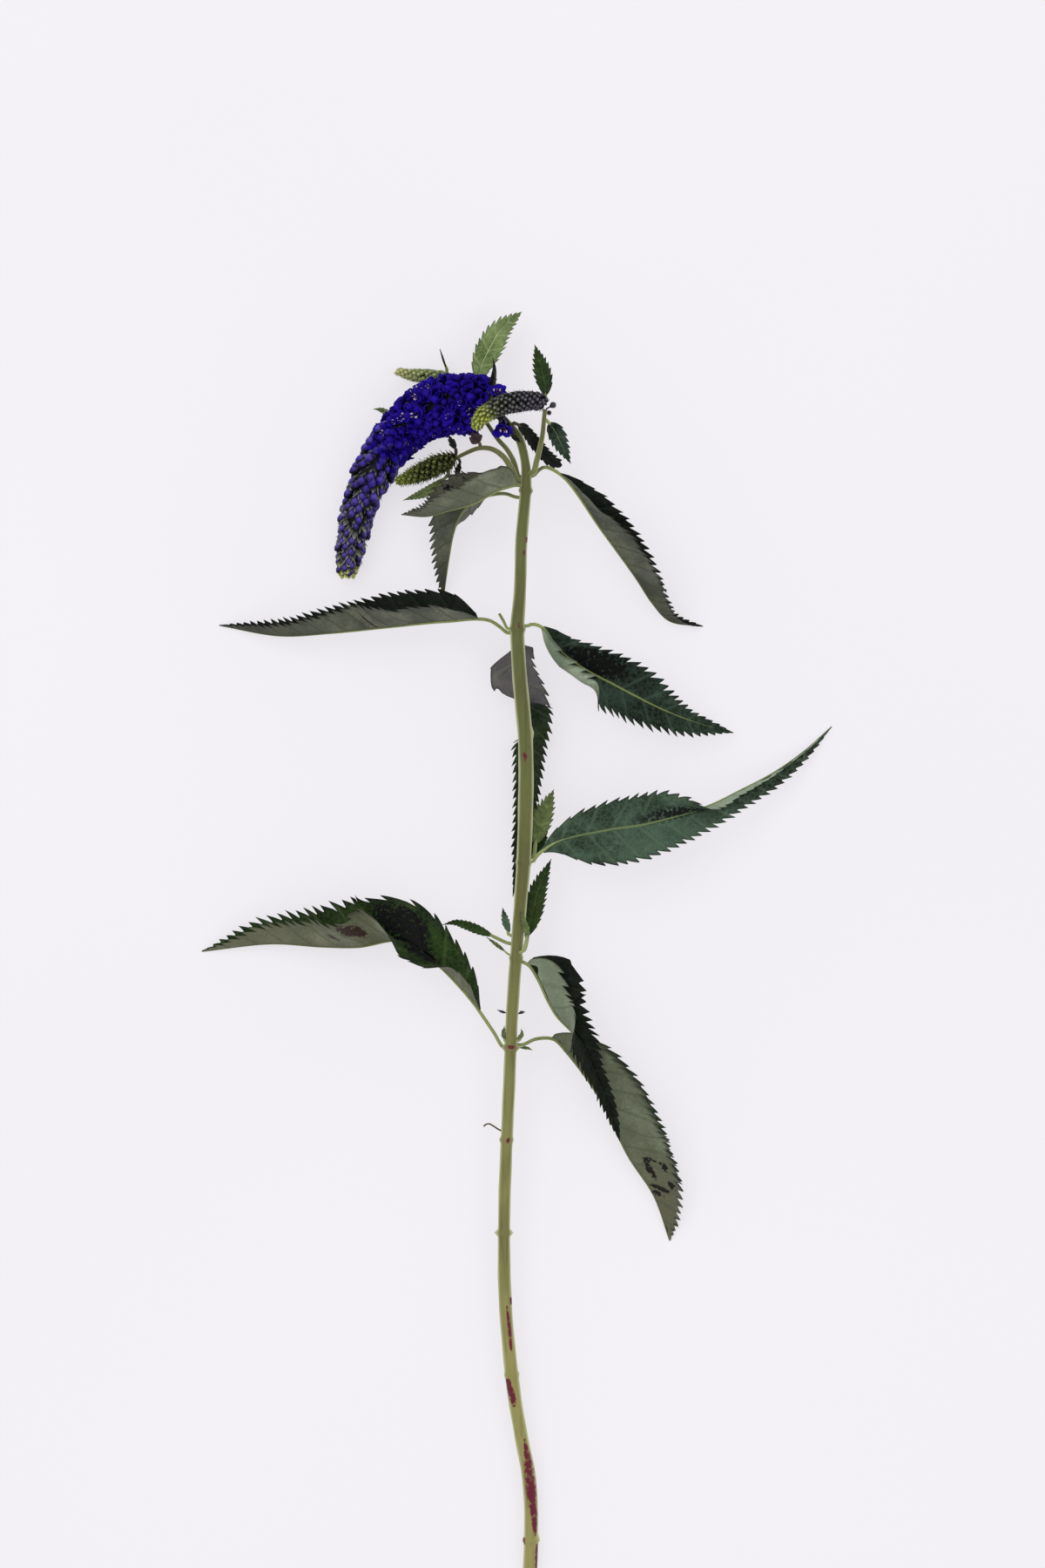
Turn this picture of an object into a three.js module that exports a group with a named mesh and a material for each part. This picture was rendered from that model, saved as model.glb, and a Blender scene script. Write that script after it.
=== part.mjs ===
// A cut stem of garden speedwell lying on a level surface: a drooping violet flower spike, three young
// green side spikes, and five whorls of toothed leaves.
//
// Millimetres. X runs across the stem, Y from the cut end to the flowers, Z up from the surface.
// Routes are measured from the cut end; the finished plant is then moved so that the origin is in the
// middle of its bounding box, on the surface.

import * as THREE from 'three';

// ---------------------------------------------------------------- driving dimensions

const MIDDLE_X = -1.7; // middle of the bounding box, from the cut end
const MIDDLE_Y = 206.3;

const SEAT_GAP = 0.3; // between a piece and what carries it
const BLADE_THICKNESS = 0.5;
const LEAF_STALK_HALF_WIDTH = 0.6;
const TIP_HALF_WIDTH = 0.12;
const FLAT_OPENING = 180; // angle between the halves of an unfolded leaf, in degrees
const STALK_FADE = 0.125; // share of the route over which the stalk flattens into the blade
const FOLD_START = 4; // a blade folds fully where its half width is this many times its thickness
const MITRE_LIMIT = 2; // most that a fold thickens the blade along its midrib
const LEAF_STEP = 5; // length of one straight piece of a leaf
const LEAF_PIECES = { min: 4, max: 14 };
const WIDE_LEAF = 5; // a leaf with a larger half width has two strips in each half

const STEM_SIDES = 8;
const STEM_STEP = 11; // length of one straight piece of the stem
const RING_HALF_LENGTH = 1.4;
const BRANCH_SIDES = 6;
const BRANCH_STEP = 3;
const SPIKE_SIDES = 12;
const SPIKE_STEP = 2.4;
const BUD_SIDES = 8;
const BUD_ROWS = 6;
const BUDS_AROUND = 6;
const BUD_RELIEF = 0.04; // height of the bud bumps, as a share of the spike's radius
const SPAN_DIVISIONS = 20; // samples between two stations, for measuring a route

// The half width of a blade follows q^BASE_ROUND * (1 - q)^TIP_TAPER, from its base to its tip. A leaf
// that narrows sooner or later than most has a taper of its own.
const BASE_ROUND = 0.42;
const TIP_TAPER = 0.9;

// ---------------------------------------------------------------- stalks

// Stations along the main stem: x, y, z and radius of the stem there.
const STEM_ROUTE = [
  [1.6, 0, 2.2, 2.2],
  [2.4, 23, 2.9, 2.2],
  [2.7, 36.5, 3.6, 2.2],
  [2.0, 50, 4.4, 2.15],
  [-0.5, 63.5, 5.2, 2.1],
  [-2.7, 77, 6.0, 2.1],
  [-5.3, 104, 7.6, 2.05],
  [-5.7, 131, 8.8, 1.9],
  [-4.2, 171.5, 10.6, 1.9],
  [-3.0, 198.5, 12.0, 1.9],
  [-0.7, 228.2, 14.0, 2.0],
  [0.5, 244.4, 15.0, 2.3],
  [1.1, 271.4, 16.6, 2.35],
  [0.7, 282.2, 17.2, 2.3],
  [-0.8, 298.4, 18.2, 2.3],
  [-1.6, 314, 18.8, 2.2],
  [-0.8, 325.4, 19.2, 1.9],
  [-0.3, 341.6, 19.6, 1.9],
  [1.1, 359.1, 19.8, 1.7],
  [0.8, 365.9, 19.4, 1.4],
  [-1.3, 373.4, 18.0, 1.35],
];

// Swollen rings where the leaf whorls grow, as distance along the stem and swelling of the radius.
const STEM_RINGS = [
  { at: 30.6, swell: 0.45 },
  { at: 82.9, swell: 0.3 },
  { at: 127.3, swell: 0.75 },
  { at: 156.3, swell: 0.35 },
  { at: 185.9, swell: 0.7 },
  { at: 212.9, swell: 0.4 },
  { at: 242.7, swell: 0.35 },
  { at: 315.2, swell: 0.5 },
  { at: 358.2, swell: 0.6 },
];

const BRANCH_ROUTES = {
  left_branch: [
    [-1.5, 359.9, 19.2, 1.0],
    [-3.2, 363.2, 19.6, 1.0],
    [-5.9, 367.2, 19.5, 0.9],
    [-9.5, 369.6, 19.0, 0.8],
    [-13.5, 369.9, 18.2, 0.7],
    [-17.6, 368.4, 16.8, 0.65],
    [-20.8, 366.8, 15.3, 0.6],
  ],
  back_branch: [
    [-1.1, 361, 17, 0.85],
    [-2.7, 365.9, 14, 0.8],
    [-4.9, 369.9, 10.5, 0.75],
    [-7.6, 373.1, 7, 0.7],
    [-12.2, 379.9, 4, 0.65],
    [-16.7, 386.9, 3.1, 0.6],
    [-21.3, 391.4, 3.3, 0.55],
  ],
  right_branch: [
    [3.3, 362.3, 20.9, 0.95],
    [4.4, 365.9, 21.9, 0.9],
    [5.4, 369.9, 23, 0.8],
    [6.2, 374, 24.4, 0.75],
    [6.6, 378, 25.6, 0.7],
    [7, 381.5, 26.6, 0.7],
  ],
};

const SPIKE_ROUTES = {
  main_spike: [
    [-1.8, 374.2, 17.7, 1.6],
    [-4.4, 377.2, 16.7, 4.6],
    [-7.6, 380.4, 15.9, 7.6],
    [-12.2, 383.1, 15.1, 8.9],
    [-17.6, 383.9, 14.2, 9.2],
    [-23, 383.7, 13.2, 9.0],
    [-28.4, 382.1, 12, 8.5],
    [-33.8, 378.8, 10.6, 7.6],
    [-38.6, 374, 9.2, 6.9],
    [-42.4, 369.4, 8, 6.6],
    [-45.9, 364, 6.9, 6.1],
    [-48.6, 358.6, 6.3, 5.7],
    [-50.8, 352.4, 5.7, 5.2],
    [-52.4, 345.6, 5.1, 4.7],
    [-53.7, 338.9, 4.5, 4.0],
    [-54.5, 332.1, 3.4, 2.8],
    [-54.7, 329.2, 3, 1.2],
  ],
  left_side_spike: [
    [-21.1, 366.7, 15.1, 1.2],
    [-24.5, 365.6, 14.6, 2.7],
    [-28.5, 363.9, 14, 2.9],
    [-33, 361.9, 13.4, 2.4],
    [-39.2, 359.6, 12.6, 0.8],
  ],
  back_side_spike: [
    [-21.7, 391.6, 3.3, 1.2],
    [-25, 392.2, 3.5, 2.3],
    [-31.1, 392.9, 3.8, 2.1],
    [-35.1, 393.4, 3.9, 1.6],
    [-39.4, 394.5, 4, 0.7],
  ],
  right_side_spike: [
    [6.8, 383.1, 27, 2.0],
    [4.9, 384, 27.2, 3.2],
    [-1.4, 383.9, 27.6, 3.6],
    [-5.4, 383.1, 27.6, 3.4],
    [-9.2, 381.5, 27.4, 2.9],
    [-12.4, 379.4, 27, 2.4],
    [-13.8, 377.2, 26.5, 1.8],
    [-13.5, 375.3, 26, 0.8],
  ],
};

const BUDS = {
  large_bud: { centre: [9.4, 382.9, 26.2], radius: 0.85, on: 'right_branch' },
  small_bud: { centre: [8.2, 380.6, 24.4], radius: 0.65, on: 'right_branch' },
};

// ---------------------------------------------------------------- leaves
//
// Each leaf has a midrib route from its stalk to its tip, the half width of its blade, the share of the
// route that is bare stalk, and its folds: stations [share of the route, angle of the left half, angle
// of the right half] in degrees. The angles are measured about the midrib, from the left hand side of
// the route towards Z, so 0 and 180 is a leaf that lies flat with its upper side up.

const LEAVES = {
  first_whorl_front_leaf: {
    on: 'main_stem',
    route: [
      [-2.2, 358.3, 21.8], [-6.8, 357.2, 22.6], [-10.8, 355.1, 22.5], [-14.9, 352.9, 22.3],
      [-24.3, 350.2, 21], [-29.7, 348.8, 20], [-37.5, 349.4, 18.5],
    ],
    halfWidth: 11.0,
    stalk: 0.1,
    folds: [[0, 135, 188], [1, 135, 188]],
  },
  first_whorl_hanging_leaf: {
    on: 'main_stem',
    route: [
      [-2.2, 354.8, 17.5], [-5.4, 355.9, 16], [-10.8, 355.3, 14.5], [-16.2, 352.9, 13],
      [-19.4, 349.4, 12], [-21.6, 343.7, 10], [-23, 336.2, 7], [-24.8, 323.2, 0.27],
    ],
    halfWidth: 7.5,
    stalk: 0.3,
    folds: [[0, 178, 290], [0.7, 180, 292], [1, 182, 340]],
  },
  first_whorl_right_leaf: {
    on: 'main_stem',
    route: [
      [3.2, 361.2, 18.6], [5.2, 363.2, 18.9], [7.2, 364, 19.6], [13.5, 360.2, 20.6], [24.3, 345.1, 18],
      [35.1, 330.2, 12.2], [40.5, 322.1, 7.5], [45.9, 316.7, 3.6], [56.2, 315.1, 0.27],
    ],
    halfWidth: 8.2,
    stalk: 0.14,
    folds: [[0, -3, 50], [0.85, -3, 48], [1, -3, 120]],
  },
  second_whorl_left_leaf: {
    on: 'main_stem',
    route: [
      [-4.6, 312.7, 18.8], [-7.3, 314.8, 19.5], [-10.8, 316.7, 20], [-24.3, 316.4, 19],
      [-40.5, 314.8, 16], [-59.4, 312.9, 11.5], [-75.6, 312.1, 7], [-94.5, 315.4, 0.27],
    ],
    halfWidth: 10.4,
    stalk: 0.13,
    folds: [[0, 128, 188], [0.9, 125, 186], [1, 90, 180]],
  },
  second_whorl_right_leaf: {
    on: 'main_stem',
    route: [
      [1.1, 314.8, 18.8], [3.2, 315.4, 19.5], [6.2, 314.3, 20.2], [12.2, 307, 20.5], [18.9, 301.9, 19.8],
      [27.8, 297, 18], [43.2, 289.2, 12.8], [54, 285.1, 8.5], [65.6, 281.9, 4],
    ],
    halfWidth: 9.2,
    taper: 1.1,
    stalk: 0.12,
    folds: [[0, 5, 80], [0.3, 5, 80], [0.45, 5, 165], [1, 8, 165]],
  },
  second_whorl_back_leaf: {
    on: 'main_stem',
    route: [
      [-1.6, 311, 15], [-1.6, 307, 12.5], [-0.8, 301.1, 10], [0.5, 293, 8], [1.6, 282.2, 6.2],
      [1.4, 260.6, 3.5], [0.5, 249.8, 2.4], [-3, 230.9, 0.27],
    ],
    halfWidth: 8.8,
    taper: 1.5,
    stalk: 0.07,
    folds: [[0, 185, 345], [1, 185, 345]],
  },
  second_whorl_broken_stalk: {
    on: 'main_stem',
    route: [[-4.6, 314, 20.5], [-5.9, 316.4, 21.2], [-7.2, 318.6, 21.8]],
    halfWidth: 0.55,
    stalk: 1,
    folds: [[0, 0, 180]],
  },
  third_whorl_right_leaf: {
    on: 'main_stem',
    route: [
      [3, 241.7, 15], [4.6, 243.8, 16], [10.8, 248.1, 18], [27, 251.9, 19], [37.8, 253.5, 18],
      [57.2, 258.9, 13.5], [67.5, 263.8, 10], [78.3, 269.5, 6], [87.8, 276.2, 2.8], [96.4, 283.8, 0.27],
    ],
    halfWidth: 10.8,
    taper: 1.3,
    stalk: 0.09,
    folds: [[0, 5, 175], [0.5, 10, 176], [0.6, 70, 178], [0.75, 98, 180], [0.88, 50, 172], [1, 40, 170]],
  },
  third_whorl_axil_leaf: {
    on: 'main_stem',
    route: [[3.2, 243.2, 13.6], [4.2, 248.4, 12.3], [5.7, 254.3, 12], [9.7, 264.3, 11.8]],
    halfWidth: 3.3,
    stalk: 0.2,
    folds: [[0, 0, 172]],
  },
  third_whorl_dark_leaf: {
    on: 'main_stem',
    route: [[1.2, 243.2, 11.2], [4.2, 245.8, 9.6], [7.8, 253.8, 8.4]],
    halfWidth: 2.0,
    stalk: 0.12,
    folds: [[0, 0, 172]],
  },
  fourth_whorl_axil_leaf: {
    on: 'main_stem',
    route: [
      [0.4, 214.1, 11.4], [1.9, 220.1, 10.9], [3.2, 225.5, 10.9], [4.6, 232.2, 10.9], [8.9, 242.7, 10.9],
    ],
    halfWidth: 3.1,
    stalk: 0.16,
    folds: [[0, 5, 170]],
  },
  fourth_whorl_small_leaf: {
    on: 'main_stem',
    route: [[0.1, 214.1, 15.6], [1.4, 219.8, 16], [0.5, 223.3, 16.5], [-0.5, 226.8, 16.8]],
    halfWidth: 1.0,
    stalk: 0.3,
    folds: [[0, 30, 150]],
  },
  fourth_whorl_left_bract: {
    on: 'main_stem',
    route: [[-4.1, 219, 13], [-4.9, 222.2, 13], [-6.2, 227.6, 13]],
    halfWidth: 1.2,
    stalk: 0.12,
    folds: [[0, 10, 170]],
  },
  fourth_whorl_left_leaf: {
    on: 'main_stem',
    route: [
      [-4.2, 216.5, 13.4], [-10.8, 219.5, 14], [-17.6, 222.2, 13.8], [-21.1, 223, 13.6],
      [-24.8, 222.3, 13.3],
    ],
    halfWidth: 1.5,
    stalk: 0.26,
    folds: [[0, 5, 170]],
  },
  fourth_whorl_lower_leaf: {
    on: 'main_stem',
    route: [[-4.2, 213, 12.3], [-6.5, 214.9, 12.3], [-11.1, 218.4, 12.3]],
    halfWidth: 1.0,
    stalk: 0.2,
    folds: [[0, 10, 170]],
  },
  fourth_whorl_right_leaf: {
    on: 'main_stem',
    route: [
      [-0.3, 210.9, 13.5], [2.2, 209.5, 14.5], [4.9, 205.7, 16], [8.1, 198.7, 17.5], [10.8, 194.1, 18],
      [14.3, 190.4, 18.6], [18.4, 186, 18.6], [21.9, 178.2, 18.2], [27, 166.1, 16.8], [30.2, 155.2, 15],
    ],
    halfWidth: 11.0,
    taper: 1.7,
    stalk: 0.1,
    folds: [[0, 0, 55], [0.4, 0, 60], [0.56, 5, 150], [0.7, 5, 170], [1, 8, 165]],
  },
  fifth_whorl_left_leaf: {
    on: 'main_stem',
    route: [
      [-5.9, 184.1, 11.2], [-9.2, 189.3, 12.5], [-18.9, 202.8, 15.5], [-29.2, 212.5, 16.5],
      [-37.8, 217.4, 15.8], [-50.8, 215.5, 13], [-62.1, 215.5, 9.8], [-78.3, 216.3, 5],
      [-99.9, 213.8, 0.27],
    ],
    halfWidth: 14.6,
    stalk: 0.15,
    folds: [
      [0, 122, 188], [0.24, 122, 186], [0.33, 60, 180], [0.42, 70, 180], [0.52, 128, 186], [1, 118, 184],
    ],
  },
  fifth_whorl_right_leaf: {
    on: 'main_stem',
    route: [
      [0, 185, 11.2], [4.1, 186.8, 12], [9.5, 186.8, 12.3], [13.5, 183.3, 12], [24.3, 168.2, 9.5],
      [32.9, 150.4, 6], [41, 137.7, 3.2], [45.9, 123.7, 0.27],
    ],
    halfWidth: 12.4,
    taper: 0.55,
    stalk: 0.2,
    folds: [[0, -6, 24], [1, -4, 22]],
  },
  fifth_whorl_left_bract: {
    on: 'main_stem',
    route: [[-5.4, 186, 12.3], [-5.9, 188.5, 12.5], [-5.6, 190.9, 12.5]],
    halfWidth: 0.7,
    stalk: 0.1,
    folds: [[0, 20, 150]],
  },
  fifth_whorl_right_bract: {
    on: 'main_stem',
    route: [[-0.8, 186.4, 13.2], [-0.2, 188.3, 13.6], [-0.4, 190, 13.6]],
    halfWidth: 0.7,
    stalk: 0.1,
    folds: [[0, 20, 150]],
  },
  fifth_whorl_small_bract: {
    on: 'main_stem',
    route: [[0.3, 184, 9.3], [1.6, 183.9, 9.2], [3, 183.3, 9]],
    halfWidth: 0.5,
    stalk: 0.1,
    folds: [[0, 20, 150]],
  },
  left_scale: {
    on: 'main_stem',
    route: [[-4.9, 194.8, 10.6], [-6.5, 195.3, 10.6], [-7.8, 195.8, 10.6]],
    halfWidth: 0.4,
    stalk: 0.1,
    folds: [[0, 10, 170]],
  },
  right_scale: {
    on: 'main_stem',
    route: [[-0.7, 194.7, 10.8], [0, 195.1, 10.8], [0.8, 195.2, 10.8]],
    halfWidth: 0.5,
    stalk: 0.1,
    folds: [[0, 10, 170]],
  },
  dried_leaf_stalk: {
    on: 'main_stem',
    route: [
      [-4.9, 158, 8.3], [-7, 158.4, 8.6], [-9.2, 159.8, 8.8], [-10.8, 160.5, 8.9], [-12.1, 159.6, 9],
    ],
    halfWidth: 0.25,
    stalk: 1,
    folds: [[0, 0, 180]],
  },
  top_leaf: {
    on: 'main_spike',
    route: [
      [-13.8, 390.7, 14.5], [-12.7, 395.6, 13], [-10.3, 401, 11.5], [-6.8, 406.9, 10.5], [-0.3, 412.6, 9],
    ],
    halfWidth: 4.0,
    stalk: 0.12,
    folds: [[0, 5, 172], [1, 15, 165]],
  },
  narrow_top_leaf: {
    on: 'main_spike',
    route: [[-8.4, 391, 20.3], [-8.7, 394.5, 19.7], [-9.2, 398, 19]],
    halfWidth: 1.1,
    stalk: 0.1,
    folds: [[0, 60, 130]],
  },
  edge_on_leaf: {
    on: 'back_side_spike',
    route: [[-23.5, 394.6, 5], [-24.3, 396.9, 4.7], [-25.7, 401.2, 4.4]],
    halfWidth: 1.2,
    stalk: 0.1,
    folds: [[0, 60, 130]],
  },
  spike_leaf_tip: {
    on: 'main_spike',
    route: [[-41.3, 381.8, 6], [-44, 382.3, 5.5], [-46.4, 382.6, 5]],
    halfWidth: 1.0,
    stalk: 0.1,
    folds: [[0, 10, 170]],
  },
  upper_bract: {
    on: 'right_side_spike',
    route: [[7, 384.2, 25.5], [7, 388.8, 24.5], [5.9, 394.2, 23], [3.8, 401.8, 21]],
    halfWidth: 2.2,
    stalk: 0.08,
    folds: [[0, 0, 170]],
  },
  lower_bract: {
    on: 'right_branch',
    route: [[7.3, 378.4, 24.2], [10, 374.9, 23.3], [12.2, 370.4, 22], [14.9, 365, 20]],
    halfWidth: 2.1,
    stalk: 0.08,
    folds: [[0, -5, 165]],
  },
  rolled_leaf: {
    on: 'main_spike',
    route: [
      [-2.7, 377.5, 23.5], [0, 376.1, 23.5], [2.7, 373.1, 21], [6, 369, 19], [8.6, 366.4, 18.5],
      [12.2, 364.5, 18],
    ],
    halfWidth: 1.7,
    stalk: 0.08,
    folds: [[0, 20, 150]],
  },
  rolled_leaf_strand: {
    on: 'main_spike',
    route: [[-3.8, 374, 20.6], [-2.2, 372.9, 21], [-0.6, 371.8, 21]],
    halfWidth: 0.8,
    stalk: 0.1,
    folds: [[0, 20, 150]],
  },
  folded_brown_leaf: {
    on: 'left_branch',
    route: [[-13.2, 371.2, 18.6], [-14, 372.3, 18.6], [-15, 373.6, 18.9], [-15.6, 375, 19.2]],
    halfWidth: 1.5,
    stalk: 0.08,
    folds: [[0, 30, 150]],
  },
  small_dark_bract: {
    on: 'left_side_spike',
    route: [[-22.6, 369.4, 15.2], [-22.8, 371.4, 15], [-23.4, 373.4, 14.6]],
    halfWidth: 0.8,
    stalk: 0.1,
    folds: [[0, 20, 160]],
  },
  drooping_bract: {
    on: 'left_branch',
    route: [[-19.4, 366, 15], [-20, 363.4, 14.2], [-21.1, 361, 13.6]],
    halfWidth: 0.9,
    stalk: 0.1,
    folds: [[0, 20, 160]],
  },
  left_spike_leaf: {
    on: 'left_side_spike',
    route: [[-22.8, 362.6, 12.7], [-25, 360, 11.7], [-29.2, 356.9, 11.5], [-37, 354, 10.8]],
    halfWidth: 1.7,
    stalk: 0.12,
    folds: [[0, 10, 170]],
  },
};

// ---------------------------------------------------------------- colours

const FINISHES = {
  stem: { color: 0x8c9650, roughness: 0.6 },
  violet: { color: 0x3a22b0, roughness: 0.6 },
  greenSpike: { color: 0x9aa56a, roughness: 0.65 },
  darkLeaf: { color: 0x24382a, roughness: 0.5 },
  brightLeaf: { color: 0x7f9a55, roughness: 0.55 },
  driedLeaf: { color: 0x4b3a2c, roughness: 0.7 },
};

const BRIGHT_LEAVES = new Set([
  'top_leaf', 'third_whorl_axil_leaf', 'left_spike_leaf', 'second_whorl_broken_stalk',
]);
const DRIED_LEAVES = new Set(['dried_leaf_stalk', 'folded_brown_leaf', 'left_scale', 'right_scale']);

/** A material of its own for one piece. */
function materialOf(finish) {
  return new THREE.MeshStandardMaterial({ ...FINISHES[finish], metalness: 0 });
}

/** The finish that a leaf's name calls for. */
function leafFinish(name) {
  if (BRIGHT_LEAVES.has(name)) {
    return 'brightLeaf';
  }
  return DRIED_LEAVES.has(name) ? 'driedLeaf' : 'darkLeaf';
}

// ---------------------------------------------------------------- curves

const UPWARD = new THREE.Vector3(0, 0, 1);

/** A smooth curve through a route of [x, y, z] points. */
function curveThrough(route) {
  const points = route.map(([x, y, z]) => new THREE.Vector3(x, y, z));
  return new THREE.CatmullRomCurve3(points, false, 'centripetal');
}

/** Point, right-hand side and upward normal of a curve at a share of its length. */
function frameAt(curve, share) {
  const u = THREE.MathUtils.clamp(share, 0, 1);
  const point = curve.getPointAt(u);
  const tangent = curve.getTangentAt(u);
  const right = new THREE.Vector3().crossVectors(tangent, UPWARD).normalize();
  const up = new THREE.Vector3().crossVectors(right, tangent);
  return { point, tangent, right, up };
}

/** Straight-line value of a list of stations [place, value, value, ...] at one place. */
function interpolate(stations, place, column) {
  const after = stations.findIndex(([at]) => at >= place);
  if (after <= 0) {
    return stations[after === 0 ? 0 : stations.length - 1][column];
  }
  const [from, to] = [stations[after - 1], stations[after]];
  return THREE.MathUtils.mapLinear(place, from[0], to[0], from[column], to[column]);
}

/** Moves each vertex of a geometry by a function that returns its new place. */
function warp(geometry, place) {
  const position = geometry.getAttribute('position');
  for (let i = 0; i < position.count; i += 1) {
    const vertex = new THREE.Vector3().fromBufferAttribute(position, i);
    const moved = place(vertex);
    position.setXYZ(i, moved.x, moved.y, moved.z);
  }
  geometry.computeVertexNormals();
  return geometry;
}

/** A round stalk or spike whose radius changes along its route. */
class Stalk {
  constructor(route, { rings = [], relief = 0 } = {}) {
    this.curve = curveThrough(route);
    this.length = this.curve.getLength();
    this.rings = rings;
    this.relief = relief;
    const lengths = this.curve.getLengths((route.length - 1) * SPAN_DIVISIONS);
    this.radii = route.map(([, , , radius], i) => [lengths[i * SPAN_DIVISIONS], radius]);
  }

  /** Radius at a distance along the route, rings included. */
  radiusAt(distance) {
    const swelling = this.rings.map(({ at, swell }) => {
      const offset = (distance - at) / RING_HALF_LENGTH;
      return swell * Math.max(0, 1 - offset * offset);
    });
    return interpolate(this.radii, distance, 1) + Math.max(0, ...swelling);
  }

  /** The place on the surface, at a clearance from it, that is nearest to a point outside. */
  seatFor(point, clearance) {
    const steps = Math.ceil(this.length / SEAT_GAP);
    const samples = this.curve.getSpacedPoints(steps);
    const gaps = samples.map((sample) => sample.distanceTo(point));
    const nearest = gaps.indexOf(Math.min(...gaps));
    const axis = samples[nearest];
    const outward = point.clone().sub(axis).normalize();
    const surface = this.radiusAt((nearest / steps) * this.length) * (1 + this.relief / 2);
    return { seat: axis.addScaledVector(outward, surface + clearance), outward };
  }

  /** The closed solid: a lathe profile bent along the route, with a relief of buds if it has one. */
  geometry(sides, step) {
    const plain = Math.ceil(this.length / step);
    const rows = Array.from({ length: plain + 1 }, (_, i) => (i / plain) * this.length);
    this.rings.forEach(({ at }) => rows.push(at - RING_HALF_LENGTH, at, at + RING_HALF_LENGTH));
    rows.sort((a, b) => a - b);
    const wall = rows.map((row) => new THREE.Vector2(this.radiusAt(row), row));
    const profile = [new THREE.Vector2(0, 0), ...wall, new THREE.Vector2(0, this.length)];
    return warp(new THREE.LatheGeometry(profile, sides), (vertex) => {
      const { point, right, up } = frameAt(this.curve, vertex.y / this.length);
      const turn = Math.atan2(vertex.x, vertex.z) * BUDS_AROUND;
      const bump = 1 + this.relief * Math.cos(turn) * Math.cos((Math.PI * vertex.y) / step);
      return point.addScaledVector(right, vertex.x * bump).addScaledVector(up, vertex.z * bump);
    });
  }
}

// ---------------------------------------------------------------- leaves

/** A route with its first point moved on to the surface of the stalk that carries it. */
function seatRoute(route, host, halfThickness) {
  const [first, second] = route.slice(0, 2).map(([x, y, z]) => new THREE.Vector3(x, y, z));
  const { outward } = host.seatFor(first, 0);
  const lean = second.clone().sub(first).normalize().cross(outward).length();
  const { seat } = host.seatFor(first, SEAT_GAP + halfThickness * lean);
  return [[...seat.toArray(), ...route[0].slice(3)], ...route.slice(1)];
}

/** Half width of a leaf at a share of its route: the bare stalk, then the blade. */
function halfWidthAt(leaf, share, stalkHalfWidth) {
  const q = (share - leaf.stalk) / (1 - leaf.stalk);
  if (q <= 0 || leaf.stalk === 1) {
    return stalkHalfWidth;
  }
  const taper = leaf.taper ?? TIP_TAPER;
  const widest = BASE_ROUND / (BASE_ROUND + taper);
  const shape = (at) => at ** BASE_ROUND * (1 - at) ** taper;
  const blade = (leaf.halfWidth * shape(Math.min(q, 1))) / shape(widest);
  const start = stalkHalfWidth * (1 - Math.min(1, q / widest));
  return Math.max(blade, start, TIP_HALF_WIDTH);
}

/** A closed leaf: a thin box bent along the midrib, with each half turned to its own angle. */
function leafGeometry(leaf, host) {
  const stalkHalfWidth = Math.min(LEAF_STALK_HALF_WIDTH, leaf.halfWidth);
  const curve = curveThrough(seatRoute(leaf.route, host, stalkHalfWidth));
  const pieces = Math.round(curve.getLength() / LEAF_STEP);
  const long = THREE.MathUtils.clamp(pieces, LEAF_PIECES.min, LEAF_PIECES.max);
  const across = leaf.halfWidth > WIDE_LEAF ? 4 : 2;
  const box = new THREE.BoxGeometry(2, 1, 2, across, long, 1);
  return warp(box, ({ x: side, y, z: face }) => {
    const share = y + 0.5;
    const { point, right, up } = frameAt(curve, share);
    const width = halfWidthAt(leaf, share, stalkHalfWidth);
    const bare = 1 - Math.min(1, Math.max(0, share - leaf.stalk) / STALK_FADE);
    const thickness = THREE.MathUtils.lerp(BLADE_THICKNESS, 2 * stalkHalfWidth, bare);
    const leftAngle = interpolate(leaf.folds, share, 1);
    const rightAngle = interpolate(leaf.folds, share, 2);
    const facing = (leftAngle + rightAngle) / 2;
    const folded = Math.min(1, width / (FOLD_START * thickness)) * (1 - bare);
    const opening = THREE.MathUtils.lerp(FLAT_OPENING, rightAngle - leftAngle, folded);
    const turned = (degrees) => {
      const angle = THREE.MathUtils.degToRad(degrees);
      return right.clone().multiplyScalar(-Math.cos(angle)).addScaledVector(up, Math.sin(angle));
    };
    const halfOpening = THREE.MathUtils.degToRad(opening / 2);
    const direction = turned(facing + (Math.sign(side) * opening) / 2);
    const mitre = Math.min(MITRE_LIMIT, 1 / Math.sin(halfOpening));
    const normal = side === 0
      ? turned(facing).multiplyScalar(mitre)
      : turned(facing + Math.sign(side) * (opening / 2 - 90));
    return point
      .addScaledVector(direction, Math.abs(side) * width)
      .addScaledVector(normal, (face * thickness) / 2);
  });
}

/** A round bud that touches its stalk. */
function budGeometry(bud, host) {
  const { seat } = host.seatFor(new THREE.Vector3(...bud.centre), SEAT_GAP + bud.radius);
  return new THREE.SphereGeometry(bud.radius, BUD_SIDES, BUD_ROWS).translate(...seat.toArray());
}

// ---------------------------------------------------------------- the plant

const plant = new THREE.Group();
plant.position.set(-MIDDLE_X, -MIDDLE_Y, 0);

/** Adds one named piece to the plant. */
function addPiece(name, geometry, finish) {
  const mesh = new THREE.Mesh(geometry, materialOf(finish));
  mesh.name = name;
  plant.add(mesh);
}

const hosts = { main_stem: new Stalk(STEM_ROUTE, { rings: STEM_RINGS }) };
addPiece('main_stem', hosts.main_stem.geometry(STEM_SIDES, STEM_STEP), 'stem');

Object.entries(BRANCH_ROUTES).forEach(([name, route]) => {
  hosts[name] = new Stalk(seatRoute(route, hosts.main_stem, route[0][3]));
  addPiece(name, hosts[name].geometry(BRANCH_SIDES, BRANCH_STEP), 'stem');
});

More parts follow.
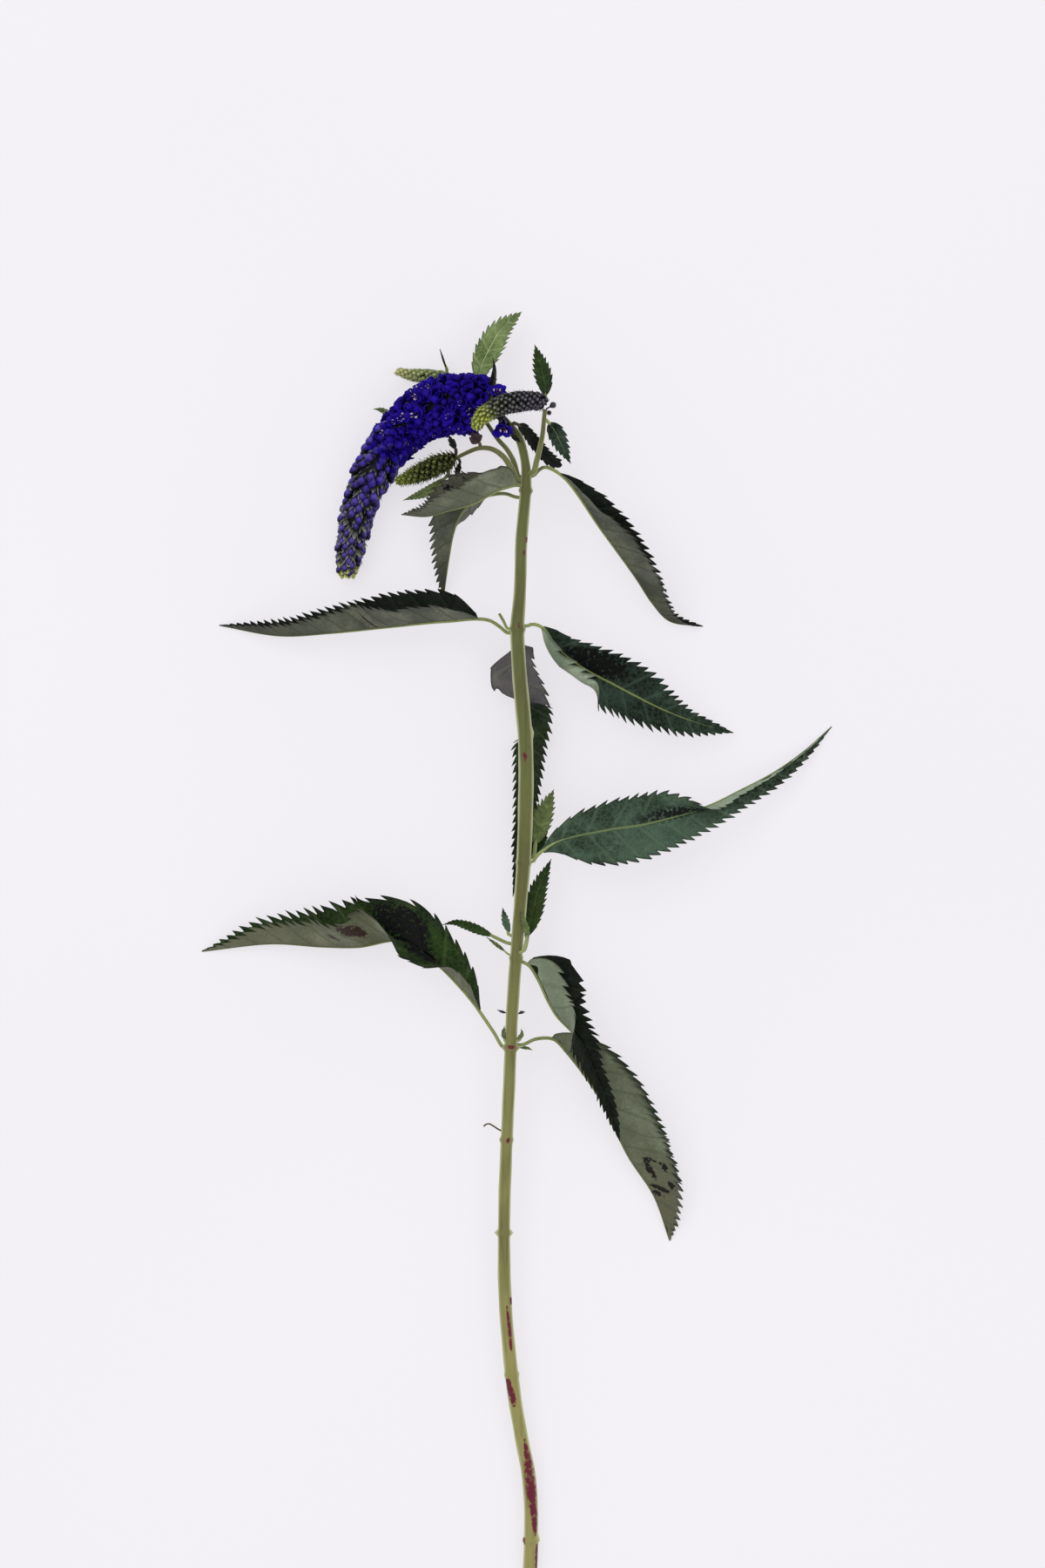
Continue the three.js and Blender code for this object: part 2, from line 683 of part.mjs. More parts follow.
Object.entries(SPIKE_ROUTES).forEach(([name, route]) => {
  hosts[name] = new Stalk(route, { relief: BUD_RELIEF });
  const finish = name === 'main_spike' ? 'violet' : 'greenSpike';
  addPiece(name, hosts[name].geometry(SPIKE_SIDES, SPIKE_STEP), finish);
});

Object.entries(LEAVES).forEach(([name, leaf]) => {
  addPiece(name, leafGeometry(leaf, hosts[leaf.on]), leafFinish(name));
});

Object.entries(BUDS).forEach(([name, bud]) => {
  addPiece(name, budGeometry(bud, hosts[bud.on]), 'violet');
});

export default plant;
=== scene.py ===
"""A cut stem of garden speedwell lying on a level surface.

The plant is a round stem with swollen nodes, a drooping violet flower spike, three young green spikes
and five whorls of toothed, folded leaves. Every piece replaces the frame's solid of the same name.

Lengths are in millimetres, and routes are measured from the cut end of the stem, with X across, Y along
the stem and Z up from the surface; the meshes are put into metres and into the frame's own place when
they are made. Angles are in degrees.
"""

from __future__ import annotations

import logging
from dataclasses import dataclass, field, replace
from enum import Enum
from functools import cache
from typing import Sequence

import bpy
import numpy as np
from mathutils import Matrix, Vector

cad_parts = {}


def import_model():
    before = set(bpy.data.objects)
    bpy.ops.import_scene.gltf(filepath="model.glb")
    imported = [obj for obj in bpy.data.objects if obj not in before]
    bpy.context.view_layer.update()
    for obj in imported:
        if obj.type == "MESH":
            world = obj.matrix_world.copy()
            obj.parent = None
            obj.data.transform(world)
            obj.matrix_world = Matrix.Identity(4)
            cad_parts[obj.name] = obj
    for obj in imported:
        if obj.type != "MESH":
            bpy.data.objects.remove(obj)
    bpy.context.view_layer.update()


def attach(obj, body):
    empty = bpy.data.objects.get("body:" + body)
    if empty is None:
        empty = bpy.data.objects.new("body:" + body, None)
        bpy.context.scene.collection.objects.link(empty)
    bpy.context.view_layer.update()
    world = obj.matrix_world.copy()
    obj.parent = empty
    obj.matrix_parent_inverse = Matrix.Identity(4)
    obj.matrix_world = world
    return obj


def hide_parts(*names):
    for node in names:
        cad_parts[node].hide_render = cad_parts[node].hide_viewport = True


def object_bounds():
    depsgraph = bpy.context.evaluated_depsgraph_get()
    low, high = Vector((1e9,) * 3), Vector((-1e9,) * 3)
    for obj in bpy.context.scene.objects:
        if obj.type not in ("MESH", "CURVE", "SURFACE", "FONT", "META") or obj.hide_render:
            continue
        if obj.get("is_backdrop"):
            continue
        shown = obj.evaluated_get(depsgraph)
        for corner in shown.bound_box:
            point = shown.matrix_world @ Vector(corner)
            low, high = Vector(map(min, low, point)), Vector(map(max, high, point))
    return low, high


LOG = logging.getLogger("speedwell")

MM = 0.001
MIDDLE_X = -1.7  # middle of the plant's box, from the cut end
MIDDLE_Y = 206.3
GOLDEN_ANGLE = 137.508
SHARP_ANGLE = 50.0  # faces that meet more steeply than this keep a hard edge
REST_HEIGHT = 0.6  # below this the plant yields to the surface that it lies on
NEARLY_STRAIGHT = 1e-4  # least bend of a blade, in radians to a millimetre
MARKS = 4  # numbers that each point carries for its finish

Array = np.ndarray
Socket = bpy.types.NodeSocket
Point = tuple[float, float, float]
Stations = tuple[tuple[float, ...], ...]  # rows of a place followed by values


def unit(vectors: Array) -> Array:
    """The vectors, each divided by its length."""
    return vectors / np.maximum(np.linalg.norm(vectors, axis=-1, keepdims=True), 1e-9)


def smooth(values: Array, low: float, high: float) -> Array:
    """0 below low, 1 above high, and 3t^2 - 2t^3 between them."""
    t = np.clip((values - low) / (high - low), 0.0, 1.0)
    return t * t * (3.0 - 2.0 * t)


def table_at(stations: Sequence[Sequence[float]], places: Array, column: int) -> Array:
    """A column of stations, from 1 after their places, read straight between them and level beyond."""
    rows = np.array(stations, dtype=float)
    return np.interp(places, rows[:, 0], rows[:, column])


# ---------------- curves


@dataclass(frozen=True)
class Frames:
    """Points of a curve, with the directions along it, to its right and up from it."""

    point: Array
    along: Array
    right: Array
    up: Array

    def turned(self, degrees: Array) -> Array:
        """Directions at an angle about the curve, from its left-hand side (0) over the top (90)."""
        angle = np.radians(degrees)[..., None]
        return self.up * np.sin(angle) - self.right * np.cos(angle)


class Curve:
    """A smooth line through stations, walked by its length."""

    STEPS = 24  # samples to a span

    def __init__(self, stations: Array) -> None:
        """Fits a centripetal cubic through the stations.

        Each span is a Hermite cubic whose end slopes weigh the neighbouring spans by the square roots of
        their lengths. It is sampled, and the samples are numbered by their distance along the line.

        Args:
            stations: rows of x, y, z and any further values, such as a radius.
        """
        points = np.asarray(stations, dtype=float)[:, :3]
        ends = (2 * points[:1] - points[1:2], 2 * points[-1:] - points[-2:-1])
        line = np.vstack([ends[0], points, ends[1]])
        gaps = np.sqrt(np.linalg.norm(np.diff(line, axis=0), axis=1))[:, None]
        a, b, c = gaps[:-2], gaps[1:-1], gaps[2:]
        p0, p1, p2, p3 = line[:-3], line[1:-2], line[2:-1], line[3:]
        leave = ((p1 - p0) / a - (p2 - p0) / (a + b) + (p2 - p1) / b) * b
        reach = ((p2 - p1) / b - (p3 - p1) / (b + c) + (p3 - p2) / c) * b
        t = (np.arange(self.STEPS) / self.STEPS)[None, :, None]
        cubic = (
            (2 * t**3 - 3 * t**2 + 1) * p1[:, None]
            + (t**3 - 2 * t**2 + t) * leave[:, None]
            + (3 * t**2 - 2 * t**3) * p2[:, None]
            + (t**3 - t**2) * reach[:, None]
        )
        self.samples = np.vstack([cubic.reshape(-1, 3), points[-1:]])
        walked = np.linalg.norm(np.diff(self.samples, axis=0), axis=1)
        self.distances = np.concatenate([[0.0], np.cumsum(walked)])
        self.length = float(self.distances[-1])
        self.station_distances = self.distances[:: self.STEPS]

    def frames(self, shares: Array) -> Frames:
        """Frames along the line: its slope, the level direction to its right, and the one across both.

        Args:
            shares: places along the line, from 0 to 1.

        Returns:
            The frames, in the shape of shares.
        """
        distance = np.clip(shares, 0.0, 1.0) * self.length
        along = unit(self.read(unit(np.gradient(self.samples, self.distances, axis=0)), distance))
        right = unit(np.cross(along, [0.0, 0.0, 1.0]))
        return Frames(self.read(self.samples, distance), along, right, np.cross(right, along))

    def read(self, vectors: Array, distance: Array) -> Array:
        """Vectors that belong to the samples, read between them at distances along the line."""
        return np.stack([np.interp(distance, self.distances, vectors[:, k]) for k in range(3)], -1)


# ---------------- shells


@dataclass
class Shell:
    """A closed piece of mesh: points, faces of four and three corners, and the marks of each point."""

    points: Array
    quads: Array
    triangles: Array
    marks: Array
    slots: Array | int = 0  # finish of the four-cornered faces, counted from the shell's own

    def repeated(self, origins: Array, axes: Array, tones: Array) -> Shell:
        """Copies of the shell: origin + x * first axis + y * second axis + z * third axis.

        Args:
            origins: (n, 3) places of the copies.
            axes: (n, 3, 3) their axes, one in each row, scaled by the size of the copy.
            tones: (n,) third mark of each copy.

        Returns:
            One shell that holds them all.
        """
        count, size = len(origins), len(self.points)
        points = origins[:, None] + np.einsum("pk,nkc->npc", self.points, axes)
        shift = (np.arange(count) * size)[:, None, None]
        marks = np.repeat(self.marks[None], count, axis=0)
        marks[:, :, 2] = tones[:, None]
        return Shell(
            points.reshape(-1, 3),
            (self.quads[None] + shift).reshape(-1, 4),
            (self.triangles[None] + shift).reshape(-1, 3),
            marks.reshape(-1, MARKS),
        )


def strip_quads(rows: int, columns: int, closed: bool) -> Array:
    """Faces of a grid of points that are numbered row by row.

    Args:
        rows: of the grid.
        columns: of the grid.
        closed: whether its last column is joined to its first.

    Returns:
        (n, 4) numbers of the corners.
    """
    i, j = np.meshgrid(np.arange(rows - 1), np.arange(columns if closed else columns - 1), indexing="ij")
    row, beyond, k = i * columns, (i + 1) * columns, (j + 1) % columns
    return np.stack([row + j, row + k, beyond + k, beyond + j], -1).reshape(-1, 4)


def tube(frames: Frames, radii: Array, sides: int, tones: Array | None = None) -> Shell:
    """A closed round body along a curve: centre + radius * (up * cos + right * sin), with poles.

    Args:
        frames: (n,) frames along the curve.
        radii: (n,) or (n, sides) radii.
        sides: how many points go round.
        tones: (n, sides) third marks, or None for 0.

    Returns:
        The shell; its marks are the share of the length, how far to the side (-1 to 1), and the tone.
    """
    rows = len(frames.point)
    turn = np.arange(sides) / sides
    angle = 2 * np.pi * turn[:, None]
    around = np.cos(angle) * frames.up[:, None] + np.sin(angle) * frames.right[:, None]
    wide = radii[:, None] if radii.ndim == 1 else radii
    wall = frames.point[:, None] + around * (wide * np.ones(sides))[..., None]
    points = np.vstack([wall.reshape(-1, 3), frames.point[:1], frames.point[-1:]])
    ring = np.arange(sides)
    following = (ring + 1) % sides
    last = (rows - 1) * sides
    start = np.stack([np.full(sides, rows * sides), following, ring], -1)
    end = np.stack([np.full(sides, rows * sides + 1), last + ring, last + following], -1)
    marks = np.zeros((rows * sides + 2, MARKS))
    marks[:-2, 0] = np.repeat(np.linspace(0, 1, rows), sides)
    marks[:-2, 1] = np.tile(np.sin(angle[:, 0]), rows)
    marks[-1, 0] = 1.0
    if tones is not None:
        marks[:-2, 2] = tones.ravel()
        marks[-2:, 2] = tones[0].mean(), tones[-1].mean()
    return Shell(points, strip_quads(rows, sides, True), np.vstack([start, end]), marks)


def sheet(middle: Array, normal: Array, thickness: Array, marks: Array) -> Shell:
    """A closed thin sheet: the middle surface moved half its thickness each way, and a rim.

    Args:
        middle: (rows, columns, 3) middle surface.
        normal: (rows, columns, 3) direction of its upper side, across * along.
        thickness: (rows, columns).
        marks: (rows, columns, MARKS).

    Returns:
        The shell, whose face slots are 0 on the upper side and the rim, and 1 on the underside.
    """
    rows, columns = middle.shape[:2]
    half = normal * thickness[..., None] / 2
    points = np.vstack([(middle + half).reshape(-1, 3), (middle - half).reshape(-1, 3)])
    count = rows * columns
    top = strip_quads(rows, columns, False)
    index = np.arange(count).reshape(rows, columns)
    loop = np.concatenate([index[0, :-1], index[:-1, -1], index[-1, :0:-1], index[:0:-1, 0]])
    after = np.roll(loop, -1)
    rim = np.stack([after, loop, loop + count, after + count], -1)
    quads = np.vstack([top, rim, top[:, ::-1] + count])
    slots = np.concatenate([np.zeros(len(top) + len(rim), int), np.ones(len(top), int)])
    both = marks.reshape(-1, MARKS)
    return Shell(points, quads, np.empty((0, 3), int), np.vstack([both, both]), slots)


def joined(shells: Sequence[Shell]) -> Shell:
    """Several shells as one, in one finish.

    Args:
        shells: closed shells.

    Returns:
        A shell with all their points, and their faces numbered on.
    """
    starts = np.cumsum([0] + [len(shell.points) for shell in shells])
    return Shell(
        np.vstack([shell.points for shell in shells]),
        np.vstack([shell.quads + start for shell, start in zip(shells, starts)]),
        np.vstack([shell.triangles + start for shell, start in zip(shells, starts)]),
        np.vstack([shell.marks for shell in shells]),
    )


def across_times_along(grid: Array) -> Array:
    """Unit normals of a grid of points, from its differences across and along."""
    return unit(np.cross(np.gradient(grid, axis=1), np.gradient(grid, axis=0)))


class Model:
    """Gathers closed shells and makes one object of them."""

    def __init__(self) -> None:
        """Starts with nothing."""
        self.shells: list[Shell] = []
        self.quad_slots: list[Array] = []
        self.triangle_slots: list[Array] = []

    def add(self, shell: Shell, slot: int = 0) -> None:
        """Adds a shell, whose finishes are counted from slot.

        Args:
            shell: a closed shell.
            slot: number of its own finish.
        """
        self.shells.append(shell)
        self.quad_slots.append(np.full(len(shell.quads), slot) + shell.slots)
        self.triangle_slots.append(np.full(len(shell.triangles), slot))

    def build(self, name: str, finishes: Sequence[Finish], slot: str, node: str) -> None:
        """Makes one object of the shells, in metres and in the frame's place, that rides on the root body.

        Points that would sink into the surface come to rest on it: a height h below the rest height r
        becomes r * exp(h / r - 1), which keeps their order.

        Args:
            name: the object's name.
            finishes: in the order of the slots of the faces.
            slot: name of the finish in the frame; it is not used.
            node: the frame's piece that it stands for.
        """
        whole = joined(self.shells)
        height = whole.points[:, 2]
        rested = np.where(height < REST_HEIGHT, REST_HEIGHT * np.exp(height / REST_HEIGHT - 1), height)
        placed = (np.column_stack([whole.points[:, :2], rested]) - [MIDDLE_X, MIDDLE_Y, 0.0]) * MM
        mesh = bpy.data.meshes.new(name)
        mesh.vertices.add(len(placed))
        mesh.vertices.foreach_set("co", placed.ravel())
        corners = np.concatenate([whole.quads.ravel(), whole.triangles.ravel()])
        mesh.loops.add(len(corners))
        mesh.loops.foreach_set("vertex_index", corners)
        quads, triangles = len(whole.quads), len(whole.triangles)
        mesh.polygons.add(quads + triangles)
        firsts = np.concatenate([np.arange(quads) * 4, 4 * quads + np.arange(triangles) * 3])
        mesh.polygons.foreach_set("loop_start", firsts)
        for finish in finishes:
            mesh.materials.append(made(finish))
        mesh.polygons.foreach_set("material_index", np.concatenate(self.quad_slots + self.triangle_slots))
        marks = mesh.attributes.new("marks", "FLOAT_COLOR", "POINT")
        marks.data.foreach_set("color", whole.marks.ravel())
        mesh.update(calc_edges=True)
        mesh.validate()
        mesh.shade_smooth()
        mesh.set_sharp_from_angle(angle=np.radians(SHARP_ANGLE))
        piece = bpy.data.objects.new(name, mesh)
        bpy.context.scene.collection.objects.link(piece)
        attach(piece, "root")
        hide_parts(node)
        LOG.info("%s: %d faces", name, len(mesh.polygons))


# ---------------- finishes


def linear(code: str) -> tuple[float, float, float, float]:
    """A written colour as the shader's linear numbers.

    Args:
        code: six hexadecimal digits.

    Returns:
        Red, green, blue and a full alpha.
    """
    parts = [int(code[k : k + 2], 16) / 255 for k in (0, 2, 4)]
    red, green, blue = [v / 12.92 if v <= 0.04045 else ((v + 0.055) / 1.055) ** 2.4 for v in parts]
    return (red, green, blue, 1.0)


class Shader:
    """Builds one material node by node; its methods return sockets to link onwards."""

    def __init__(self, name: str) -> None:
        """Makes the material, and the sockets of its place on the plant and of the mesh's marks.

        Args:
            name: the material's name.
        """
        self.material = bpy.data.materials.new(name)
        self.material.use_nodes = True
        self.tree = self.material.node_tree
        self.surface = self.tree.nodes["Principled BSDF"]
        self.place = self.node("TexCoord").outputs["Object"]
        marks = self.node("Attribute", attribute_name="marks").outputs
        self.marks = [*self.node("SeparateXYZ", marks["Vector"]).outputs, marks["Alpha"]]

    def node(self, kind: str, *values: object, **settings: object) -> bpy.types.Node:
        """Adds a node.

        Args:
            kind: the node's type, without its first part.
            values: its inputs in order, linked if they are sockets.
            settings: its own settings by name, and, with a capital, further inputs.

        Returns:
            The node.
        """
        node = self.tree.nodes.new(f"ShaderNode{kind}")
        for key, value in settings.items():
            if key[0].isupper():
                self.fill(node.inputs[key], value)
            else:
                setattr(node, key, value)
        for socket, value in zip(node.inputs, values):
            self.fill(socket, value)
        return node

    def fill(self, socket: Socket, value: object) -> None:
        """Links or sets one input.

        Args:
            socket: an input.
            value: a socket to link, a value or written colour to set, or None to leave it alone.
        """
        if isinstance(value, Socket):
            self.tree.links.new(value, socket)
        elif value is not None:
            socket.default_value = linear(value) if isinstance(value, str) else value

    def math(self, operation: str, *values: object) -> Socket:
        """The result of a sum on one to three values."""
        return self.node("Math", *values, operation=operation).outputs[0]

    def ease(self, value: Socket, low: float, high: float, start: float = 0.0, stop: float = 1.0) -> Socket:
        """value from low..high to start..stop, eased at both ends."""
        eased = self.node("MapRange", value, low, high, start, stop, interpolation_type="SMOOTHSTEP")
        return eased.outputs[0]

    def stretched(self, scale: Point) -> Socket:
        """Object coordinates scaled by axis."""
        return self.node("Mapping", self.place, Scale=scale).outputs[0]

    def noise(self, scale: float, detail: float = 3.0, place: Socket | None = None) -> Socket:
        """Cloudy noise from 0 to 1, of scale cycles to a metre and detail octaves."""
        return self.node("TexNoise", place or self.place, Scale=scale, Detail=detail).outputs[0]

    def cells(self, scale: float) -> Socket:
        """Distance from the nearest edge in a net of irregular cells, scale of them to a metre."""
        voronoi = self.node("TexVoronoi", self.place, feature="DISTANCE_TO_EDGE", Scale=scale)
        return voronoi.outputs["Distance"]

    def mix(self, share: object, first: object, second: object) -> Socket:
        """A colour between two written colours or sockets, by the share of the second."""
        return self.node("Mix", share, *[None] * 5, first, second, data_type="RGBA").outputs[2]

    def relief(self, height: Socket, distance: float) -> None:
        """Bumps the surface by a height from 0 to 1 times a distance in metres."""
        bump = self.node("Bump", Height=height, Distance=distance, Strength=1.0)
        self.tree.links.new(bump.outputs[0], self.surface.inputs["Normal"])

    def finish(self, colour: Socket, **constants: float | tuple) -> bpy.types.Material:
        """Links the base colour and sets the surface's other inputs.

        Args:
            colour: the base colour.
            constants: inputs of the surface, with _ for a space.

        Returns:
            The finished material.
        """
        self.tree.links.new(colour, self.surface.inputs["Base Color"])
        for key, value in constants.items():
            self.surface.inputs[key.replace("_", " ")].default_value = value
        return self.material


@dataclass(frozen=True)
class BladeFinish:
    """One side of a leaf: two greens that drift into each other, veins, a fine net, and brown stains."""

    SIDE = "leaf"  # first part of the material's name
    NET, DRIFT, MOTTLE, STAIN_BREAKS, GRAIN = 620.0, 95.0, 520.0, 900.0, 2600.0  # cycles to a metre
    SIDE_VEIN = (0.02, 0.12)  # distance from a side vein over which it fades, in gaps between veins
    MIDDLE_VEIN = (0.02, 0.09)  # the same from the middle, in half widths
    MIDRIB = (0.015, 0.045)
    NET_LINE = (0.0, 0.16)  # in cells
    MARGIN = (0.86, 1.0)  # where the edge's colour comes in, in half widths
    FAR = (0.35, 0.95)  # where the tip's colour comes in, in lengths

    name: str
    deep: str
    light: str
    vein: str
    edge: str  # of the toothed margin
    far: str  # towards the tip
    roughness: float = 0.5
    gloss: float = 0.1
    sheen: float = 0.03
    relief: float = 0.0001  # of the veins, in metres; below 0 they are sunk
    vein_strength: float = 0.4
    stain: str = "2b1a12"
    midrib: str = ""  # colour of the line along the middle; without it, that of the veins

    def material(self) -> bpy.types.Material:
        """Side veins lie where the first mark is a whole number, and a net of cells between them.

        Returns:
            The material.
        """
        shader = Shader(f"{self.SIDE}_{self.name}")
        outwards = shader.math("ABSOLUTE", shader.marks[1])
        side_vein = shader.ease(shader.math("PINGPONG", shader.marks[0], 0.5), *self.SIDE_VEIN, 1.0, 0.0)
        veins = shader.math("MAXIMUM", side_vein, shader.ease(outwards, *self.MIDDLE_VEIN, 1.0, 0.0))
        net = shader.ease(shader.cells(self.NET), *self.NET_LINE, 1.0, 0.0)
        drift = shader.ease(shader.noise(self.DRIFT, 4.0), 0.34, 0.68)
        body = shader.mix(drift, self.deep, self.light)
        body = shader.mix(shader.ease(shader.marks[3], *self.FAR, 0.0, 0.8), body, self.far)
        body = shader.mix(shader.math("MULTIPLY", net, 0.25), body, self.vein)
        body = shader.mix(shader.math("MULTIPLY", veins, self.vein_strength), body, self.vein)
        mottle = shader.ease(shader.noise(self.MOTTLE, 5.0), 0.52, 0.7, 0.0, 0.35)
        body = shader.mix(mottle, body, self.vein)
        body = shader.mix(shader.ease(outwards, *self.MARGIN, 0.0, 0.7), body, self.edge)
        breaks = shader.ease(shader.noise(self.STAIN_BREAKS), 0.3, 0.55, 0.4, 1.3)
        stained = shader.math("MULTIPLY", shader.marks[2], breaks)
        body = shader.mix(shader.ease(stained, 0.3, 0.6), body, self.stain)
        if self.midrib:
            body = shader.mix(shader.ease(outwards, *self.MIDRIB, 1.0, 0.0), body, self.midrib)
        height = shader.math("ADD", veins, shader.math("MULTIPLY", net, 0.45))
        grain = shader.math("MULTIPLY", shader.noise(self.GRAIN, 2.0), 0.25)
        shader.relief(shader.math("ADD", height, grain), self.relief)
        return shader.finish(
            body,
            Roughness=self.roughness,
            Specular_IOR_Level=self.gloss,
            Sheen_Weight=self.sheen,
            Sheen_Roughness=0.45,
        )


@dataclass(frozen=True)
class Upper(BladeFinish):
    """The upper side of a leaf, in which the veins are sunk."""

    SIDE = "leaf_upper"

    relief: float = -0.00012


@dataclass(frozen=True)
class Under(BladeFinish):
    """The duller underside, on which the veins stand up."""

    SIDE = "leaf_under"

    roughness: float = 0.7
    gloss: float = 0.13
    sheen: float = 0.1
    relief: float = 0.00016
    vein_strength: float = 0.5


@dataclass(frozen=True)
class StalkFinish:
    """Green skin that changes from foot to end, with long fibres, pale downy sides whose paleness is
    painted rim light, and crimson stains.
    """

    FIBRES, PATCHES, STAIN_BREAKS, HAIRS = 900.0, 42.0, 700.0, 4200.0  # cycles to a metre
    DRAWN_OUT = (1.0, 0.06, 1.0)  # the fibres run along Y
    DOWNY_RIM_SPAN = (0.62, 1.0)  # how far to the side the painted rim light on the down comes in, in radii
    RELIEF = 0.00014  # of the fibres and hairs, in metres

    name: str
    foot: str
    end: str
    shade: str  # of the fibres and the darker patches
    downy_rim_light: str  # of the down on its sides, lightened as painted rim light
    stain: str = "5a0824"

    def material(self) -> bpy.types.Material:
        """The fibres are noise drawn out along the stem, and the down's painted rim light lies where the
        second mark is large.

        Returns:
            The material.
        """
        shader = Shader(self.name)
        fibres = shader.noise(self.FIBRES, 3.0, shader.stretched(self.DRAWN_OUT))
        skin = shader.mix(shader.ease(shader.marks[0], 0.1, 0.8), self.foot, self.end)
        patches = shader.ease(shader.noise(self.PATCHES, 3.0), 0.42, 0.66, 0.0, 0.45)
        skin = shader.mix(patches, skin, self.shade)
        skin = shader.mix(shader.ease(fibres, 0.48, 0.75, 0.0, 0.5), skin, self.shade)
        # painted rim light: the stalk's sides, seen from above, are lightened towards the down's colour
        down = shader.ease(shader.math("ABSOLUTE", shader.marks[1]), *self.DOWNY_RIM_SPAN, 0.0, 0.8)
        skin = shader.mix(down, skin, self.downy_rim_light)
        breaks = shader.ease(shader.noise(self.STAIN_BREAKS), 0.3, 0.6, 0.55, 1.25)
        stained = shader.math("MULTIPLY", shader.marks[2], breaks)
        skin = shader.mix(shader.ease(stained, 0.15, 0.9), skin, self.stain)
        hairs = shader.math("MULTIPLY", shader.noise(self.HAIRS, 1.0), 0.35)
        shader.relief(shader.math("ADD", fibres, hairs), self.RELIEF)
        return shader.finish(
            skin,
            Roughness=0.6,
            Specular_IOR_Level=0.2,
            Sheen_Weight=0.25,
            Sheen_Roughness=0.5,
            Sheen_Tint=linear("e9ecd0"),
        )


@dataclass(frozen=True)
class FlowerFinish:
    """Thin coloured tissue that runs through three colours by the third mark of each flower."""

    SPECKS, GRAIN = 1100.0, 3000.0  # cycles to a metre
    RIBS = 20.0  # turns of the ribs' wave over the width, in radians
    RELIEF = 0.00005  # in metres

    name: str
    old: str
    middle: str
    young: str
    tip: str  # of the end of each flower, and of the painted highlights in it
    shadow: str  # painted shade at its foot, and on a bud's side that is turned to the spike
    gloss: float = 0.2
    roughness: float = 0.55
    sheen: float = 0.0
    tipped: float = 0.7  # how strongly the end is coloured
    shoulder_highlight: float = 0.0  # how strongly the painted highlight on the swollen middle is laid on
    shaded: float = 0.4  # share of the flower's length over which the painted shade at its foot fades out
    inward_shade: float = 0.0  # how strongly painted shade darkens a bud on the side that is turned to the spike

    def material(self) -> bpy.types.Material:
        """Painted shade darkens the foot of each flower and its end is lighter, with painted highlights and
        fine ribs along it.

        Returns:
            The material.
        """
        shader = Shader(self.name)
        upwards, across, age, _ = shader.marks
        body = shader.mix(shader.ease(age, 0.0, 0.5), self.old, self.middle)
        body = shader.mix(shader.ease(age, 0.5, 1.0), body, self.young)
        body = shader.mix(shader.ease(upwards, 0.5, 1.0, 0.0, self.tipped), body, self.tip)
        # painted highlight on the swollen middle of each bud
        below_end = shader.ease(upwards, 0.62, 0.92, self.shoulder_highlight, 0.0)
        swollen = shader.math("MULTIPLY", shader.ease(upwards, 0.3, 0.6), below_end)
        body = shader.mix(swollen, body, self.tip)
        # painted shade at the foot of each flower
        body = shader.mix(shader.ease(upwards, 0.0, self.shaded, 0.95, 0.0), body, self.shadow)
        # painted highlight specks in the tip's colour
        body = shader.mix(shader.ease(shader.noise(self.SPECKS), 0.48, 0.75, 0.0, 0.25), body, self.tip)
        # painted shade on the side of a bud that is turned to the spike
        if self.inward_shade:
            body = shader.mix(shader.ease(across, -0.95, 0.1, 0.0, self.inward_shade), body, self.shadow)
        ribs = shader.math("SINE", shader.math("MULTIPLY", across, self.RIBS))
        shader.relief(shader.math("ADD", ribs, shader.noise(self.GRAIN)), self.RELIEF)
        return shader.finish(
            body,
            Roughness=self.roughness,
            Specular_IOR_Level=self.gloss,
            Sheen_Weight=self.sheen,
            Sheen_Roughness=0.4,
        )


Finish = BladeFinish | StalkFinish | FlowerFinish


@cache
def made(finish: Finish) -> bpy.types.Material:
    """The finish's material, which is made once."""
    return finish.material()


LEAF_RIB = StalkFinish("leaf_rib", "7c8550", "61673f", "4a4f30", "a5aa80")
PALE_RIB = StalkFinish("leaf_rib_pale", "8d985d", "6f7b4a", "575f35", "b3b98b")
DUSKY_RIB = StalkFinish("leaf_rib_dusk", "7c8550", "3c4228", "33371f", "9aa077")
BROWN_RIB = StalkFinish("leaf_rib_brown", "35301f", "1b1a12", "14120c", "524c3a")
DRIED_RIB = StalkFinish("leaf_rib_dried", "54462f", "4a3e2c", "2b2217", "83765c")


@dataclass(frozen=True)
class LeafKind:
    """The finishes of one kind of leaf."""

    upper: Upper
    under: Under
    rib: StalkFinish = LEAF_RIB

    def finishes(self) -> tuple[Finish, ...]:
        """Its finishes, in the order of the slots of a leaf's faces."""
        return self.upper, self.under, self.rib


